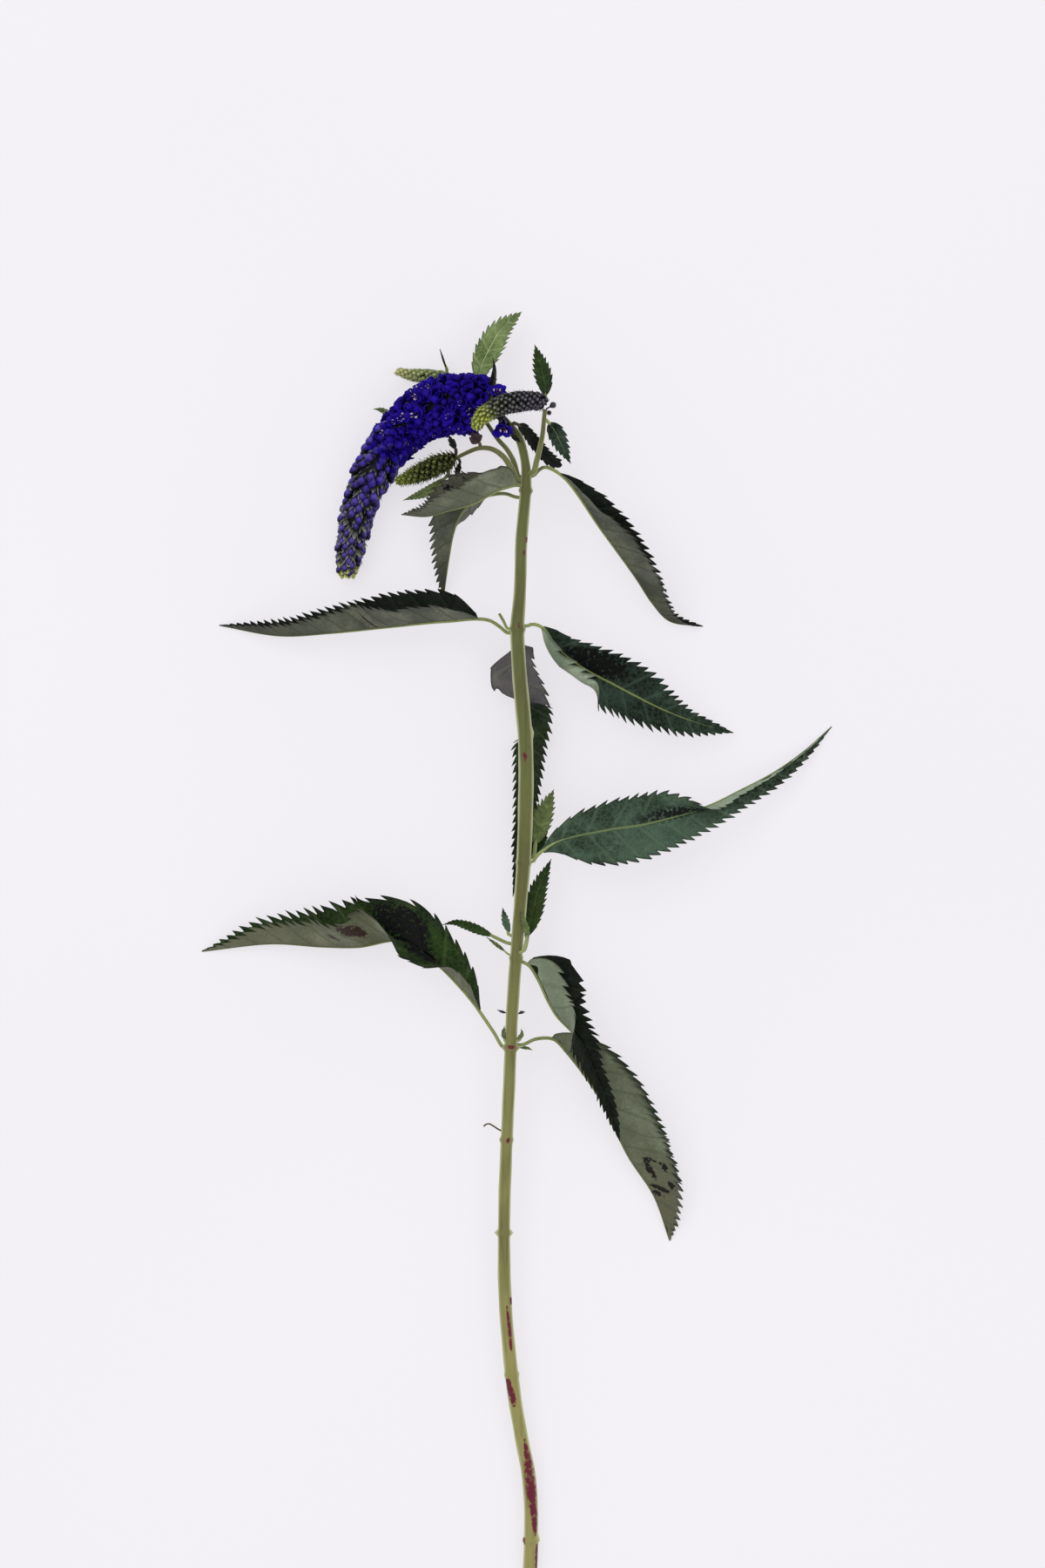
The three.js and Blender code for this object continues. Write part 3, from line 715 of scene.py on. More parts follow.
class Green(Enum):
    """The kinds of leaf on the plant, from grey-green to dried."""

    # leaves that lie in shade: their darker greens are painted shade
    SHADED_GREY = LeafKind(
        Upper("shaded_night", "030702", "0e160c", "1c2618", "0e0c08", "060905", gloss=0.07),
        Under("grey", "41443a", "626553", "35392b", "1e1e17", "2f3127"),
    )
    PEWTER = LeafKind(
        Upper("bronze", "3c3c31", "5c5a4c", "322f26", "1a1612", "282620", roughness=0.6, stain="0e0a08"),
        Under("pewter", "5a5e4c", "7a7f69", "474c3a", "0e0a0a", "3a3832"),
    )
    MAUVE = LeafKind(
        Upper("shade", "0a1406", "233019", "3c4a2e", "0b0d07", "030502"),
        Under("mauve", "524e50", "6b6668", "66685a", "2e2a28", "4a4a3c"),
        DUSKY_RIB,
    )
    DEEP = LeafKind(
        Upper(
            "deep", "0a150b", "27362b", "3f4f41", "080c06", "0f1c0e", gloss=0.06,
            vein_strength=0.35, stain="040704", midrib="6e7645",
        ),
        Under("silver", "5f6c58", "8a957e", "59654e", "3b4134", "7c8870"),
        PALE_RIB,
    )
    FRESH = LeafKind(
        Upper(
            "fresh", "1c2b1d", "3d5140", "53654f", "0c120a", "060b05", vein_strength=0.3,
            stain="0a100c", midrib="5f6c46",
        ),
        Under("sage", "808b76", "98a28e", "6f7a64", "3b4332", "8d9784", stain="808b76"),
        PALE_RIB,
    )
    MEADOW = LeafKind(
        Upper("meadow", "061a02", "20360a", "42542a", "060a03", "0c2604", stain="030502"),
        Under("olive", "51543e", "70735a", "474a33", "2f3022", "60624c"),
    )
    PALE = LeafKind(
        Upper("ink", "020602", "0b1407", "1c2716", "0b0d07", "050a03", gloss=0.08, vein_strength=0.35),
        Under("pale", "66705b", "7f8971", "59634d", "2a3022", "6d7862"),
    )
    SAGE = LeafKind(
        Upper("sage", "1c2c16", "3a4b2e", "56664a", "14180e", "1c2814", gloss=0.15, vein_strength=0.45),
        Under("green_grey", "545a45", "6b735d", "474e3a", "2e3024", "57543f", stain="15100d"),
    )
    BRIGHT = LeafKind(
        Upper("bright", "475a2b", "71844c", "8c9b68", "2a3418", "3c4a26", gloss=0.2, midrib="a3ae84"),
        Under("bright", "76855a", "90a072", "66764c", "414a2e", "6a7750"),
        PALE_RIB,
    )
    OLIVE = LeafKind(
        Upper("olive", "3a4724", "5a6738", "7b8750", "262c14", "3c4722", gloss=0.2, vein_strength=0.35),
        Under("moss", "5d6846", "748058", "56613e", "3a422a", "5d6846"),
        PALE_RIB,
    )
    GRASS = LeafKind(
        Upper("grass", "0e2202", "22360c", "34471c", "0b1205", "122802", gloss=0.12, midrib="4a5c2c"),
        Under("grass", "3c4a28", "55633c", "39461f", "262e16", "3c4a28"),
    )
    BLACK = LeafKind(
        Upper("black", "040604", "0e120b", "1d221a", "0a0b08", "060805", gloss=0.12, vein_strength=0.35),
        Under("black", "14180f", "23281d", "0f130c", "0a0b08", "181c14"),
        BROWN_RIB,
    )
    DRIED = LeafKind(
        Upper("dried", "1a1214", "382b2a", "54474a", "120d0e", "241a1a", roughness=0.65, gloss=0.15),
        Under("dried", "3d3228", "62564a", "2c221a", "1a130e", "3d3228"),
        DRIED_RIB,
    )


STEM_SKIN = StalkFinish("stem_skin", "88834c", "565b2f", "46451f", "b4b88e")
BRANCH_SKIN = StalkFinish("branch_skin", "787e4b", "55542f", "464425", "a6a884")
# near-black cores that stand for the spikes' stalks and for the painted shade between their flowers
SHADOW_CORE_SKIN = StalkFinish("spike_shadow_core", "06050e", "0a0b0a", "040408", "0c0d0e")
VIOLET_SHADOW_CORE = StalkFinish("violet_shadow_core", "05022c", "0a0818", "020110", "080426")
PETAL = FlowerFinish(
    "petal_violet", "02001c", "060248", "0c046c", "381eb8", "000002", gloss=0.03, roughness=0.45,
    tipped=0.4, shaded=0.6,
)
BUD_SKIN = FlowerFinish(
    "bud_violet", "0a0284", "180a60", "241a3a", "6a54c0", "000002", gloss=0.14, roughness=0.3, tipped=0.0,
    shoulder_highlight=0.5, shaded=0.75, inward_shade=0.98,
)
SEPAL = FlowerFinish(
    "sepal_grey_green", "07080c", "262a2a", "62695a", "9a989c", "010102", gloss=0.1, tipped=0.6, shaded=0.6,
)
STAMEN = FlowerFinish("stamen_thread", "b49ac6", "cc969e", "d07a58", "f2e8f0", "3a2a90", sheen=0.1)
YOUNG_TIP = FlowerFinish("tip_bud", "4a522c", "8a9444", "bcc258", "c8c87c", "14180a", gloss=0.3, sheen=0.1)
RIGHT_BUD = FlowerFinish(
    "green_bud_right", "240e46", "3c4630", "b8c23a", "8c8c86", "000000", gloss=0.15, roughness=0.4,
    tipped=0.2, shoulder_highlight=0.4, shaded=0.65, inward_shade=0.9,
)
RIGHT_CUP = FlowerFinish(
    "green_cup_right", "120a18", "1a1e14", "98a430", "625e62", "000000", gloss=0.08, tipped=0.5, shaded=0.7,
)
LEFT_CUP = FlowerFinish(
    "green_cup_left", "0c0b06", "2e361a", "7c8636", "7c824c", "010100", gloss=0.08, tipped=0.6, shaded=0.6,
)
LEFT_BUD = FlowerFinish(
    "green_bud_left", "1a1212", "4c5826", "9ea84a", "929a58", "030401", gloss=0.15, roughness=0.5,
    tipped=0.35, shoulder_highlight=0.3, shaded=0.5, inward_shade=0.5,
)
BACK_BUD = FlowerFinish(
    "green_bud_back", "55663a", "859458", "bcba78", "b2bc88", "18200e", gloss=0.3, roughness=0.5,
    tipped=0.5,
)
BACK_CUP = FlowerFinish(
    "green_cup_back", "3c4a26", "6c7a40", "a8a864", "b0ba8a", "141a0c", tipped=0.6, sheen=0.1,
)
ROUND_BUD = FlowerFinish(
    "round_bud_skin", "1c1420", "2a1c30", "3a2a3c", "51435a", "100a14", gloss=0.4, sheen=0.1,
)


# ---------------- stalks


@dataclass(frozen=True)
class Knob:
    """A small lump or dent of a stalk: where it is, how high, and its half sizes along and around."""

    distance: float
    turn: float  # in degrees from the top, towards the right
    height: float
    along: float
    around: float


@dataclass(frozen=True)
class Stalk:
    """A round stalk through stations of x, y, z and radius, with nodes, knobs and stains."""

    SIDES = 32
    STEP = 0.6  # between its rings
    FEWEST_RINGS = 12
    NODE_HALF_LENGTH = 0.75
    UNEVENNESS = 0.035  # of the radius, as a share of it
    SLOW_WAVE, QUICK_WAVE = 0.21, 0.47  # of the unevenness, in radians to a millimetre
    SOFT_EDGE = 1.4  # half widths at which a stain has faded out

    name: str
    stations: Stations
    nodes: tuple[tuple[float, float], ...] = ()  # distance along the stalk, swelling of the radius
    knobs: tuple[Knob, ...] = ()
    streaks: tuple[Stations, ...] = ()  # stains: distance from the cut end, sideways place, half width
    seed: float = 0.0
    root: Array | None = field(default=None, compare=False)  # where it grows from, inside its host

    @property
    def rows(self) -> Array:
        """Its stations, begun inside its host where it has one."""
        rows = np.array(self.stations)
        return rows if self.root is None else np.vstack([[*self.root, rows[0, 3]], rows])

    def radius_at(self, curve: Curve, distance: Array) -> Array:
        """The stations' own radius, and each node's swelling * exp(-(offset / half length)^2).

        Args:
            curve: its own line.
            distance: distances along it.

        Returns:
            The radii.
        """
        radius = np.interp(distance, curve.station_distances, self.rows[:, 3])
        for at, swell in self.nodes:
            radius = radius + swell * np.exp(-(((distance - at) / self.NODE_HALF_LENGTH) ** 2))
        return radius

    def nearest(self, point: Array) -> tuple[Array, Array, float]:
        """Finds where something grows from the stalk.

        Args:
            point: a point outside the stalk.

        Returns:
            The axis point nearest to it, the way out from there, and the radius there.
        """
        curve = Curve(self.rows)
        index = int(np.argmin(np.linalg.norm(curve.samples - point, axis=1)))
        axis = curve.samples[index]
        radius = self.radius_at(curve, curve.distances[index : index + 1])[0]
        return axis, unit(point - axis), float(radius)

    def shell(self) -> Shell:
        """The wall: the radius with a slow unevenness of two waves, and a bell-shaped knob wherever one is.

        Returns:
            The shell, with its stains in the third mark.
        """
        curve = Curve(self.rows)
        share = np.linspace(0.0, 1.0, max(self.FEWEST_RINGS, round(curve.length / self.STEP)))
        distance = share * curve.length
        turn = np.arange(self.SIDES) * 360.0 / self.SIDES
        wide = self.radius_at(curve, distance)[:, None] * np.ones(self.SIDES)
        angle = np.radians(turn)
        slow = np.sin(distance[:, None] * self.SLOW_WAVE + 2 * angle + self.seed)
        quick = np.sin(distance[:, None] * self.QUICK_WAVE - 3 * angle)
        wide = wide * (1.0 + self.UNEVENNESS * 0.5 * (slow + quick))
        for knob in self.knobs:
            apart = (turn - knob.turn + 180.0) % 360.0 - 180.0
            sideways = np.radians(apart) * wide
            bell = np.exp(-(((distance - knob.distance) / knob.along) ** 2))[:, None]
            wide = wide + knob.height * bell * np.exp(-((sideways / knob.around) ** 2))
        return tube(curve.frames(share), wide, self.SIDES, self.stains(distance, angle, wide))

    def stains(self, distance: Array, angle: Array, wide: Array) -> Array:
        """How strongly the skin is stained: 1 inside a streak, and fading out beyond its edge.

        Args:
            distance: (rows,) along the stalk.
            angle: (sides,) from the top, in radians.
            wide: (rows, sides) radii.

        Returns:
            (rows, sides) strengths from 0 to 1.
        """
        stain = np.zeros_like(wide)
        sideways = wide * np.sin(angle)
        for streak in self.streaks:
            line = np.array(streak)
            middle = np.interp(distance, line[:, 0], line[:, 1])[:, None]
            half = np.interp(distance, line[:, 0], line[:, 2], left=0.0, right=0.0)[:, None]
            away = np.abs(sideways - middle) / np.maximum(half, 1e-3)
            on_top = (np.cos(angle) > -0.2) * (half > 0.0)
            stain = np.maximum(stain, np.clip(self.SOFT_EDGE - away, 0.0, 1.0) * on_top)
        return stain


@dataclass(frozen=True)
class Stem:
    """The main stem and the stalks of the three side spikes."""

    ROOT_DEPTH = 0.3  # share of the stem's radius at which a branch begins

    main: Stalk
    branches: tuple[Stalk, ...]

    def build(self) -> dict[str, Stalk]:
        """Makes the stem, and the branches, which start inside it.

        Returns:
            The stalks by the names of their pieces, for leaves to sit on.
        """
        stalks = [self.main]
        for branch in self.branches:
            axis, outward, radius = self.main.nearest(np.array(branch.stations[0][:3]))
            stalks.append(replace(branch, root=axis + outward * radius * self.ROOT_DEPTH))
        for stalk in stalks:
            model = Model()
            model.add(stalk.shell())
            skin = STEM_SKIN if stalk is self.main else BRANCH_SKIN
            model.build(f"{stalk.name}_skin", (skin,), "stem", stalk.name)
        return {stalk.name: stalk for stalk in stalks}


# ---------------- leaves


def level(left: float, right: float) -> Stations:
    """Stations of two angles that stay the same from the foot of a leaf to its tip."""
    return ((0.0, left, right),)


@dataclass(frozen=True)
class Teeth:
    """Saw teeth of a leaf's edge, which point to its tip."""

    pitch: float = 2.75
    depth: float = 1.75
    lean: float = 1.05  # how far a tooth's point is carried on, as a share of its depth


@dataclass(frozen=True)
class Stain:
    """A brown mark on a blade: share of the blade's length, place across it (-1 to 1), and size."""

    along: float
    across: float
    long: float
    wide: float
    strength: float = 1.0


@dataclass(frozen=True)
class Leaf:
    """A toothed leaf folded along its midrib.

    folds and curls are stations of the share of the route, and two angles, of the left and the right
    half. A fold is the half's angle where it leaves the midrib, turned from the left-hand side (0) over
    the top (90) to the right (180), so 0 and 180 lie flat with the upper side up. A curl is how much
    further the half has turned at its edge.
    """

    ROWS_TO_A_TOOTH = 7
    TEETH_TO_A_VEIN = 2.6
    TOOTH_INSIDE = 0.55  # share of a tooth's depth that lies inside the outline
    TOOTH_UNEVENNESS = 0.25
    NARROW = 3.2  # depths of a tooth to the half width, below which the teeth get smaller
    TOOTHED_FROM = 0.62  # share of the half width where the teeth begin to draw the blade out
    LEAST_REACH = 0.04
    THICKNESS = 0.32
    THINNING = 0.55  # share of the thickness that the blade loses at its edge
    QUILTING = 0.22  # how far the blade rises between its side veins
    SWING = 3.0  # degrees that the halves move up and down along the leaf
    TOOTH = ((0.0, 0.0), (0.3, 0.4), (0.6, 0.74), (0.86, 1.0), (0.94, 0.4), (1.0, 0.0))
    COLUMNS = (0.0, 0.06, 0.16, 0.28, 0.42, 0.56, 0.7, 0.82, 0.92, 1.0)
    START = 0.004  # share of the blade where it begins
    TIP_HALF_WIDTH = 0.12
    SLANT = 0.75  # how far the side veins run forwards, as a share of how far they run out
    STALK_RADIUS = 0.58
    RIB_SIDES = 10
    RIB_STEP = 1.2  # between the rings of the rib
    RIB_TAPER = 0.86  # share of the radius that the rib loses by the tip
    RIB_SHARE = 0.55  # most radius of a rib, as a share of the leaf's half width
    ROOT_DEPTH = 0.35  # share of the host's radius at which the stalk begins
    SEAT_GAP = 0.1  # from the host's skin to the foot of the blade's route
    THICK_HOST = 1.5  # radius from which a host's skin is thick enough to seat the stalk
    SLOW_WAVE, QUICK_WAVE = 0.31, 0.73  # of the halves' swing, in radians to a millimetre
    ROUNDING = 19  # samples, of 200 to a route, over which the corners of a station list are rounded

    name: str
    route: Stations
    half_width: float
    on: str = "main_stem"
    folds: Stations = level(10, 170)
    widths: Stations = ()  # share of the route, left and right half width; without them, a plain outline
    stalk: float = 0.1
    taper: float = 1.15
    base_round: float = 0.8
    curls: Stations = level(0, 0)
    teeth: Teeth = Teeth()
    green: Green = Green.SHADED_GREY
    slot: str = "dark_leaf"
    stains: tuple[Stain, ...] = ()

    def half_width_at(self, share: Array, side: int) -> Array:
        """Half width from its stations, or else q^base_round * (1 - q)^taper by its peak.

        q is the share of the blade.

        Args:
            share: places along the route.
            side: 1 for the left half and 2 for the right.

        Returns:
            The half widths.
        """
        if self.widths:
            return np.maximum(self.eased(self.widths, share, side), self.TIP_HALF_WIDTH)
        q = np.clip((share - self.stalk) / (1 - self.stalk), 0.0, 1.0)
        widest = self.base_round / (self.base_round + self.taper)
        peak = widest**self.base_round * (1 - widest) ** self.taper
        plain = self.half_width * q**self.base_round * (1 - q) ** self.taper / peak
        return np.maximum(plain, self.TIP_HALF_WIDTH)

    def eased(self, stations: Stations, share: Array, column: int) -> Array:
        """A column of stations, with the corners between them rounded off by a bell-shaped running mean.

        Args:
            stations: rows of a share of the route followed by values.
            share: where to read.
            column: which value, counted from 1.

        Returns:
            The values, in the shape of share.
        """
        fine = np.linspace(-0.1, 1.1, 241)
        window = np.hanning(self.ROUNDING)
        padded = np.pad(table_at(stations, fine, column), self.ROUNDING // 2, mode="edge")
        rounded = np.convolve(padded, window / window.sum(), mode="valid")
        return np.interp(share, fine, rounded)

    def half(self, curve: Curve, share: Array, reach: Array, side: int) -> Array:
        """Points of one half of the blade.

        The half leaves the midrib at the fold angle a and turns evenly by the curl c over its width w,
        so a point at a distance d out lies (cos a - cos(a + c d/w)) w/c up and (sin(a + c d/w) - sin a)
        w/c to the left of the midrib.

        Args:
            curve: the midrib.
            share: (rows, columns) place along the midrib.
            reach: (rows, columns) distance out from it.
            side: 1 for the left half and 2 for the right.

        Returns:
            (rows, columns, 3) points.
        """
        distance = share * curve.length
        slow = np.sin(distance * self.SLOW_WAVE + 2.1 * side + self.half_width)
        swing = self.SWING * (slow + 0.6 * np.sin(distance * self.QUICK_WAVE + 4.0 * side))
        start = np.radians(self.eased(self.folds, share, side) + swing)
        width = np.maximum(self.half_width_at(share, side), 1.0)
        bend = np.radians(self.eased(self.curls, share, side)) / width
        bend = np.where(np.abs(bend) < NEARLY_STRAIGHT, NEARLY_STRAIGHT, bend)
        out = (np.sin(start + bend * reach) - np.sin(start)) / bend
        rise = (np.cos(start) - np.cos(start + bend * reach)) / bend
        frames = curve.frames(share)
        return frames.point + frames.up * rise[..., None] - frames.right * out[..., None]

    def tooth(self, place: Array, width: Array, rows: Array, side: int) -> Array:
        """How far the teeth stand out: the profile of a saw tooth, uneven, and smaller on a narrow blade.

        Args:
            place: (rows,) place counted in teeth.
            width: (rows,) half width.
            rows: (rows,) share of the blade.
            side: 1 for the left half and 2 for the right.

        Returns:
            (rows,) distances from the outline.
        """
        depth = self.teeth.depth * np.minimum(1.0, width / (self.NARROW * max(self.teeth.depth, 1e-9)))
        depth = depth * smooth(rows, 0.01, 0.06) * (1 - smooth(rows, 0.95, 1.0))
        uneven = 1.0 + self.TOOTH_UNEVENNESS * np.sin(np.floor(place) * 2.4 + side)
        return depth * uneven * (np.interp(place % 1.0, *np.array(self.TOOTH).T) - self.TOOTH_INSIDE)

    def blade(self, curve: Curve) -> Shell:
        """The blade: rows run out along the side veins, and the outermost columns carry the teeth.

        The middle surface is lifted between the veins by a bulge |sin|^0.6 along the blade, which fades to
        the midrib and the edge as (4 t (1 - t))^0.7 with the share t of the half width.

        Args:
            curve: the midrib.

        Returns:
            The shell.
        """
        bladed = 1 - self.stalk
        long = curve.length * bladed
        teeth = max(3, round(long / self.teeth.pitch))
        rows = np.linspace(self.START, 1.0, teeth * self.ROWS_TO_A_TOOTH + 1)
        column = np.array(self.COLUMNS)
        edge = smooth(column, self.TOOTHED_FROM, 1.0)
        veins = max(2, round(teeth / self.TEETH_TO_A_VEIN))
        grids, plain = [], []
        for side, first in ((1, 0.0), (2, 0.5)):
            width = self.half_width_at(self.stalk + rows * bladed, side)
            tooth = self.tooth(rows * teeth + first, width, rows, side)[:, None]
            slant = self.SLANT * width[:, None] / long * column
            flat = self.stalk + (rows[:, None] + slant) * bladed
            flat_reach = self.half_width_at(flat, side) * column
            plain.append(self.half(curve, flat, flat_reach, side))
            carried = self.teeth.lean * tooth / long * edge
            share = np.clip(flat + carried * bladed, 0.0, 1.0)
            reach = np.maximum(flat_reach + tooth * edge, self.LEAST_REACH * column)
            grids.append(self.half(curve, share, reach, side))
        middle, base = (np.concatenate([one[:, ::-1], two[:, 1:]], axis=1) for one, two in (grids, plain))
        across = np.concatenate([-column[::-1], column[1:]])
        outwards = np.abs(across)
        normal = across_times_along(base)
        bulge = np.abs(np.sin(np.pi * veins * rows)) ** 0.6 * np.minimum(1.0, width / 4.0)
        lift = self.QUILTING * bulge[:, None] * (4 * outwards * (1 - outwards)) ** 0.7
        thickness = self.THICKNESS * (1 - self.THINNING * outwards**3) * np.ones((len(rows), 1))
        marks = np.zeros((*lift.shape, MARKS))
        marks[..., 0] = (rows * veins)[:, None]
        marks[..., 1] = across
        marks[..., 2] = self.stained(rows[:, None], across)
        marks[..., 3] = rows[:, None]
        return sheet(middle + normal * lift[..., None], normal, thickness, marks)

    def stained(self, along: Array, across: Array) -> Array:
        """How strongly the blade is stained: exp(-r^2) about each stain, r being counted in its sizes.

        Args:
            along: (rows, 1) share of the blade.
            across: (columns,) place from the left edge (-1) to the right (1).

        Returns:
            (rows, columns) strengths from 0 to 1.
        """
        strength = np.zeros((len(along), len(across)))
        for stain in self.stains:
            apart = np.hypot((along - stain.along) / stain.long, (across - stain.across) / stain.wide)
            strength = np.maximum(strength, stain.strength * np.exp(-(apart**2)))
        return strength

    def rib(self, curve: Curve, root: Array) -> Shell:
        """The stalk and midrib: a tapering round cord that sinks towards the underside of the blade.

        Args:
            curve: the midrib, from the host's skin.
            root: where the cord begins, inside the host.

        Returns:
            The shell.
        """
        line = Curve(np.vstack([root, *[row[:3] for row in self.route]]))
        extra = line.length - curve.length
        share = np.linspace(0.0, 1.0, max(10, round(line.length / self.RIB_STEP)))
        own = np.clip((share * line.length - extra) / curve.length, 0.0, 1.0)
        bladed = np.clip((own - self.stalk) / max(1 - self.stalk, 1e-3), 0.0, 1.0)
        thick = min(self.STALK_RADIUS, self.half_width * self.RIB_SHARE)
        radius = thick * (1.0 - self.RIB_TAPER * bladed**0.55)
        frames = line.frames(share)
        facing = (self.eased(self.folds, own, 1) + self.eased(self.folds, own, 2)) / 2
        sunk = smooth(bladed, 0.0, 0.12) * (0.55 * radius + 0.3 * self.THICKNESS)
        sunk_line = frames.point - frames.turned(facing) * sunk[:, None]
        return tube(replace(frames, point=sunk_line), radius, self.RIB_SIDES)

    def build(self, hosts: dict[str, Stalk]) -> None:
        """Makes the leaf, seated on the stalk that carries it.

        Args:
            hosts: the stalks by the names of their pieces.
        """
        first = np.array(self.route[0])
        axis, outward, radius = hosts[self.on].nearest(first)
        root = axis + outward * radius * self.ROOT_DEPTH
        seat = axis + outward * min(radius + self.SEAT_GAP, float(np.linalg.norm(first - axis)))
        start = seat if radius > self.THICK_HOST else first
        curve = Curve(np.vstack([start, *[row[:3] for row in self.route[1:]]]))
        model = Model()
        if self.stalk < 1.0:
            model.add(self.blade(curve), 0)
        model.add(self.rib(curve, root), 2)
        model.build(f"{self.name}_blade", self.green.value.finishes(), self.slot, self.name)


# ---------------- flowers


def upright(points: Array) -> Frames:
    """Frames of points that lie near the Z axis, for a small round body that stands on it."""
    right, ahead, up = (np.tile(row, (len(points), 1)) for row in np.eye(3))
    return Frames(points, up, ahead, right)


def round_body(length: float, width: float, profile: Stations, sides: int, lobes: float = 0.0) -> Shell:
    """A body that stands on the origin along Z: radius = profile * (1 + lobes * cos(4 * turn)).

    Args:
        length: height of the body.
        width: width where the profile is 1.
        profile: stations of the share of the height, and of the radius.
        sides: points round it.
        lobes: depth of its four ribs.

    Returns:
        The shell.
    """
    rows = np.array(profile)
    points = np.stack([0 * rows[:, 0], 0 * rows[:, 0], rows[:, 0] * length], -1)
    turn = np.arange(sides) / sides * 2 * np.pi
    radii = rows[:, 1:2] * width / 2 * (1 + lobes * np.cos(4 * turn))
    body = tube(upright(points), radii, sides)
    body.marks[:-2, 0] = np.repeat(rows[:, 0], sides)
    return body


@dataclass(frozen=True)
class Lobe:
    """A petal or sepal: a small cupped sheet that leaves the flower's foot and bends outwards."""

    length: float
    half_width: float
    outline: Stations  # share of the length, and share of the half width
    foot: tuple[float, float]  # distance from the flower's middle and height where it starts
    bend: tuple[float, float]  # lean from the flower's axis at the foot and at the end
    cup: float  # how far the edges stand up from the middle
    thickness: float
    columns: int = 3

    def shell(self, turn: float) -> Shell:
        """The lobe at a turn about the flower's axis.

        Its middle line leans from the axis by an angle that grows evenly from foot to end; a point at a
        share w of the half width stands cup * w^2 above it.

        Args:
            turn: in degrees.

        Returns:
            The shell.
        """
        share = np.array([row[0] for row in self.outline])
        wide = np.array([row[1] for row in self.outline]) * self.half_width
        lean = np.radians(np.interp(share, [0, 1], self.bend))
        steps = np.diff(share, prepend=0.0) * self.length
        middle_lean = np.concatenate([lean[:1], (lean[1:] + lean[:-1]) / 2])
        out = self.foot[0] + np.cumsum(np.sin(middle_lean) * steps)
        high = self.foot[1] + np.cumsum(np.cos(middle_lean) * steps)
        w = np.linspace(-1, 1, self.columns)
        rise = self.cup * w**2 * np.minimum(1.0, wide / self.half_width)[:, None]
        radial = out[:, None] - rise * np.cos(lean)[:, None]
        height = high[:, None] + rise * np.sin(lean)[:, None]
        sideways = wide[:, None] * w
        cosine, sine = np.cos(np.radians(turn)), np.sin(np.radians(turn))
        grid = np.stack([radial * cosine - sideways * sine, radial * sine + sideways * cosine, height], -1)
        marks = np.zeros((*grid.shape[:2], MARKS))
        marks[..., 0] = share[:, None]
        marks[..., 1] = w / 2 + 0.5
        return sheet(grid, across_times_along(grid), np.full(grid.shape[:2], self.thickness), marks)


def thread(points: Stations, radius: float, head: float) -> Shell:
    """A stamen or style: a thin four-sided thread with a small oval head.

    Args:
        points: three points that it runs through.
        radius: of the thread.
        head: width of the head, which is nearly twice as long.

    Returns:
        The shell, on which only the head has a first mark of 1.
    """
    stalk = tube(Curve(np.array(points)).frames(np.linspace(0, 1, 4)), np.full(4, radius), 4)
    heights = np.array(points[-1]) + np.outer(np.linspace(-0.6, 0.6, 5) * head * 1.5, [0, 0, 1.0])
    anther = tube(upright(heights), np.array(HEAD_PROFILE) * head / 2, len(HEAD_PROFILE))
    stalk.marks[:, 0] = stalk.marks[:, 0] * 0.6
    anther.marks[:, 0] = 1.0
    return joined([stalk, anther])


BUD_PROFILE = ((0.0, 0.34), (0.14, 0.72), (0.36, 1.0), (0.58, 0.98), (0.79, 0.74), (0.93, 0.4), (1.0, 0.12))
LONG_PROFILE = ((0.0, 0.3), (0.16, 0.5), (0.38, 0.78), (0.6, 1.0), (0.8, 0.88), (0.93, 0.5), (1.0, 0.14))
SEPAL_OUTLINE = ((0.0, 0.6), (0.35, 1.0), (0.72, 0.66), (1.0, 0.08))
PETAL_OUTLINE = ((0.0, 0.34), (0.28, 0.74), (0.58, 1.0), (0.84, 0.84), (1.0, 0.34))
BALL_PROFILE = ((0.0, 0.2), (0.1, 0.55), (0.3, 0.92), (0.55, 1.0), (0.78, 0.8), (0.93, 0.45), (1.0, 0.12))
NECK_PROFILE = ((0.0, 1.0), (0.5, 0.8), (1.0, 0.9))
THROAT_PROFILE = ((0.0, 0.6), (0.6, 1.0), (1.0, 0.5))
HEAD_PROFILE = (0.05, 0.8, 1.0, 0.7, 0.05)


def cup_of(sepal: Lobe, bract: Lobe) -> Shell:
    """A flower's green cup: four sepals at even turns, and the thin bract below it."""
    return joined([*(sepal.shell(45.0 + 90.0 * k) for k in range(4)), bract.shell(-90.0)])


def corolla(length: float, half_width: float, opening: float, seed: int) -> Shell:
    """An open flower: a short throat and four cupped petals, each a little different from the others.

    Args:
        length: of a petal.
        half_width: of a petal.
        opening: lean of the petals' ends from the flower's axis.
        seed: of the petals' differences.

    Returns:
        The flower, which stands on the origin along Z.
    """
    chance = np.random.default_rng(seed)
    petals = []
    for turn in (45.0, 135.0, 225.0, 315.0):
        long, wide = length * chance.uniform(0.85, 1.12), half_width * chance.uniform(0.88, 1.1)
        foot = (0.45, 0.9 + chance.uniform(-0.15, 0.15))
        bend = (chance.uniform(0.0, 16.0), opening + chance.uniform(-16, 16))
        petal = Lobe(long, wide, PETAL_OUTLINE, foot, bend, cup=half_width * 0.36, thickness=0.13)
        petals.append(petal.shell(turn + chance.uniform(-12, 12)))
    return joined([round_body(1.4, 1.5, THROAT_PROFILE, 6), *petals])


